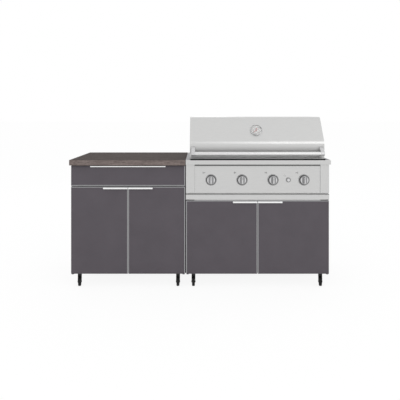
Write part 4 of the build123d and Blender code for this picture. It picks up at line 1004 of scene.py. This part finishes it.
red_range = bmesh.new()
start = [red_range.verts.new((radius, 0.0, dial_face + print_height)) for radius in range_radius]
strip = red_range.edges.new(start)
bmesh.ops.spin(red_range, geom=start + [strip], cent=(0, 0, 0), axis=(0, 0, 1),
               angle=range_turn[1] - range_turn[0], steps=range_steps)
range_start = Matrix.Rotation(math.radians(90.0) + range_turn[0], 4, "Z")
bmesh.ops.transform(red_range, matrix=on_slope @ range_start, verts=red_range.verts)
bmesh.ops.recalc_face_normals(red_range, faces=red_range.faces)
red_range.normal_update()
if red_range.faces[:][0].normal.dot(slope) < 0:
    bmesh.ops.reverse_faces(red_range, faces=red_range.faces)
range_ink = coated("range_ink", (0.52, 0.05, 0.05), 900.0, 0.5)
finished(red_range, "dial_red_range", "hood", [range_ink])

number_height = 0.0062
number_radius = 0.0252
label_step = 50
labels_per_number = 3
for label in range(0, tick_count // ticks_per_label + 1, labels_per_number):
    words = bpy.data.curves.new(f"dial_number_{label}", "FONT")
    words.body = str(label * label_step)
    words.size = number_height
    words.align_x = "CENTER"
    words.align_y = "CENTER"
    words.extrude = print_height / 2
    lettering = bpy.data.objects.new("lettering", words)
    scene.collection.objects.link(lettering)
    bpy.context.view_layer.update()
    flat = bpy.data.meshes.new_from_object(lettering.evaluated_get(bpy.context.evaluated_depsgraph_get()))
    bpy.data.objects.remove(lettering)
    angle = tick_sweep / 2 - tick_sweep * label * ticks_per_label / tick_count + math.radians(90.0)
    spot = (number_radius * math.cos(angle), number_radius * math.sin(angle), dial_face + print_height / 2)
    number = bmesh.new()
    number.from_mesh(flat)
    bpy.data.meshes.remove(flat)
    bmesh.ops.transform(number, matrix=on_slope @ Matrix.Translation(spot), verts=number.verts)
    finished(number, f"dial_number_{label}", "hood", [dial_ink])

needle_red = coated("needle_red", (0.50, 0.03, 0.02), 900.0, 0.4)
coat(needle_red, "gauge_needle")
clear_glass, glass_tree, glass_shader = new_finish("gauge_glass")
glass_shader.inputs["Base Color"].default_value = white
glass_shader.inputs["Transmission Weight"].default_value = 1.0
glass_shader.inputs["IOR"].default_value = 1.45
smears = pattern(glass_tree, even, 45.0, 4.0)
glass_tree.links.new(between(glass_tree, smears, 0.0, 0.05), glass_shader.inputs["Roughness"])
lens_outline = [
    (0.0, 0.0), (0.0395, 0.0), (0.0399, 0.0004), (0.0399, 0.0016), (0.0395, 0.0020), (0.0, 0.0020),
]
lens_half = 0.001
lens = bmesh.new()
spun(lens, lens_outline, on_slope @ Matrix.Translation((0, 0, glass_depth - lens_half)), gauge_sides)
finished(lens, "gauge_lens", "hood", [clear_glass], ["gauge_glass"])


# Casters: pressed black forks on square plates under the cabinets, the front ones free to swivel. Each wheel
# is a black rubber tyre with two tread grooves, moulded round a dark plastic hub, under a curved guard. The
# two outer front ones are turned a little, as in the photograph.
guard_radius = (0.0330, 0.0348)
guard_half = 0.0115
guard_turn = (math.radians(-35.0), math.radians(40.0))
guard_steps = 20
wheel_sides = 64
tyre_half = [
    (0.03175, 0.0018), (0.0311, 0.0022), (0.0311, 0.0028), (0.03175, 0.0032), (0.03175, 0.0040),
    (0.0316, 0.0056), (0.0308, 0.0076), (0.0290, 0.0092), (0.0262, 0.0100), (0.0238, 0.0098),
]
tyre_outline = [(r, -h) for r, h in reversed(tyre_half)] + tyre_half
hub_half = [
    (0.0238, 0.0098), (0.0234, 0.0064), (0.0150, 0.0056), (0.0096, 0.0064), (0.0090, 0.0096),
    (0.0084, 0.0100), (0.0041, 0.0100),
]
hub_outline = [(r, -h) for r, h in reversed(hub_half)]
caster_names = [f"{cabinet}_{end}_{side}" for cabinet in ("base", "grill") for end in ("front", "rear")
                for side in ("left", "right")]
outer_turn = {"base_front_left": 10.0, "grill_front_right": -10.0}
rubber, rubber_tree, rubber_shader = new_finish("tyre_rubber")
dust = pattern(rubber_tree, even, 90.0, 5.0)
rubber_stops = [(0.35, (0.010, 0.010, 0.010)), (0.7, (0.026, 0.025, 0.025))]
rubber_tree.links.new(tones(rubber_tree, dust, rubber_stops), rubber_shader.inputs["Base Color"])
rubber_tree.links.new(between(rubber_tree, dust, 0.6, 0.8), rubber_shader.inputs["Roughness"])
rubber_shader.inputs["Specular IOR Level"].default_value = 0.25
relief(rubber_tree, rubber_shader, pattern(rubber_tree, even, 700.0, 3.0), 0.2, 0.0003)
hub_plastic = coated("hub_plastic", (0.022, 0.022, 0.023), 700.0, 0.4)
fork_black = coated("fork_black", (0.016, 0.016, 0.016), 700.0, 0.38)
for name in caster_names:
    low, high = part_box(f"{name}_wheel")
    swivel = Matrix.Rotation(math.radians(outer_turn.get(name, 0.0)), 4, "Z")
    place = Matrix.Translation((low + high) / 2) @ (swivel @ to_side)
    wheel = bmesh.new()
    spun(wheel, tyre_outline, place, wheel_sides)
    tyre_faces = set(wheel.faces)
    spun(wheel, hub_half, place, wheel_sides)
    spun(wheel, hub_outline, place, wheel_sides)
    for face in wheel.faces:
        face.material_index = 0 if face in tyre_faces else 1
    finished(wheel, f"{name}_tyre", f"{name}_wheel", [rubber, hub_plastic], [f"{name}_wheel"])
    guard = bmesh.new()
    inner, outer = guard_radius
    section = ((inner, -guard_half), (outer, -guard_half), (outer, guard_half), (inner, guard_half))
    start = [guard.verts.new((-radius, 0.0, height)) for radius, height in section]
    sides = [guard.edges.new((start[i - 1], start[i])) for i in range(4)]
    bmesh.ops.rotate(guard, matrix=Matrix.Rotation(guard_turn[0], 3, "Z"), verts=start)
    swept = bmesh.ops.spin(guard, geom=start + sides, cent=(0, 0, 0), axis=(0, 0, 1),
                           angle=guard_turn[1] - guard_turn[0], steps=guard_steps)["geom_last"]
    bmesh.ops.edgenet_fill(guard, edges=sides)
    bmesh.ops.edgenet_fill(guard, edges=[e for e in swept if isinstance(e, bmesh.types.BMEdge)])
    bmesh.ops.transform(guard, matrix=place, verts=guard.verts)
    bmesh.ops.recalc_face_normals(guard, faces=guard.faces)
    body = f"{name}_caster" if "front" in name else "cabinets"
    finished(guard, f"{name}_guard", body, [fork_black])
front_forks = [f"{name}_fork" for name in caster_names if "front" in name]
coat(fork_black, "caster_plates", "rear_caster_forks", *front_forks)
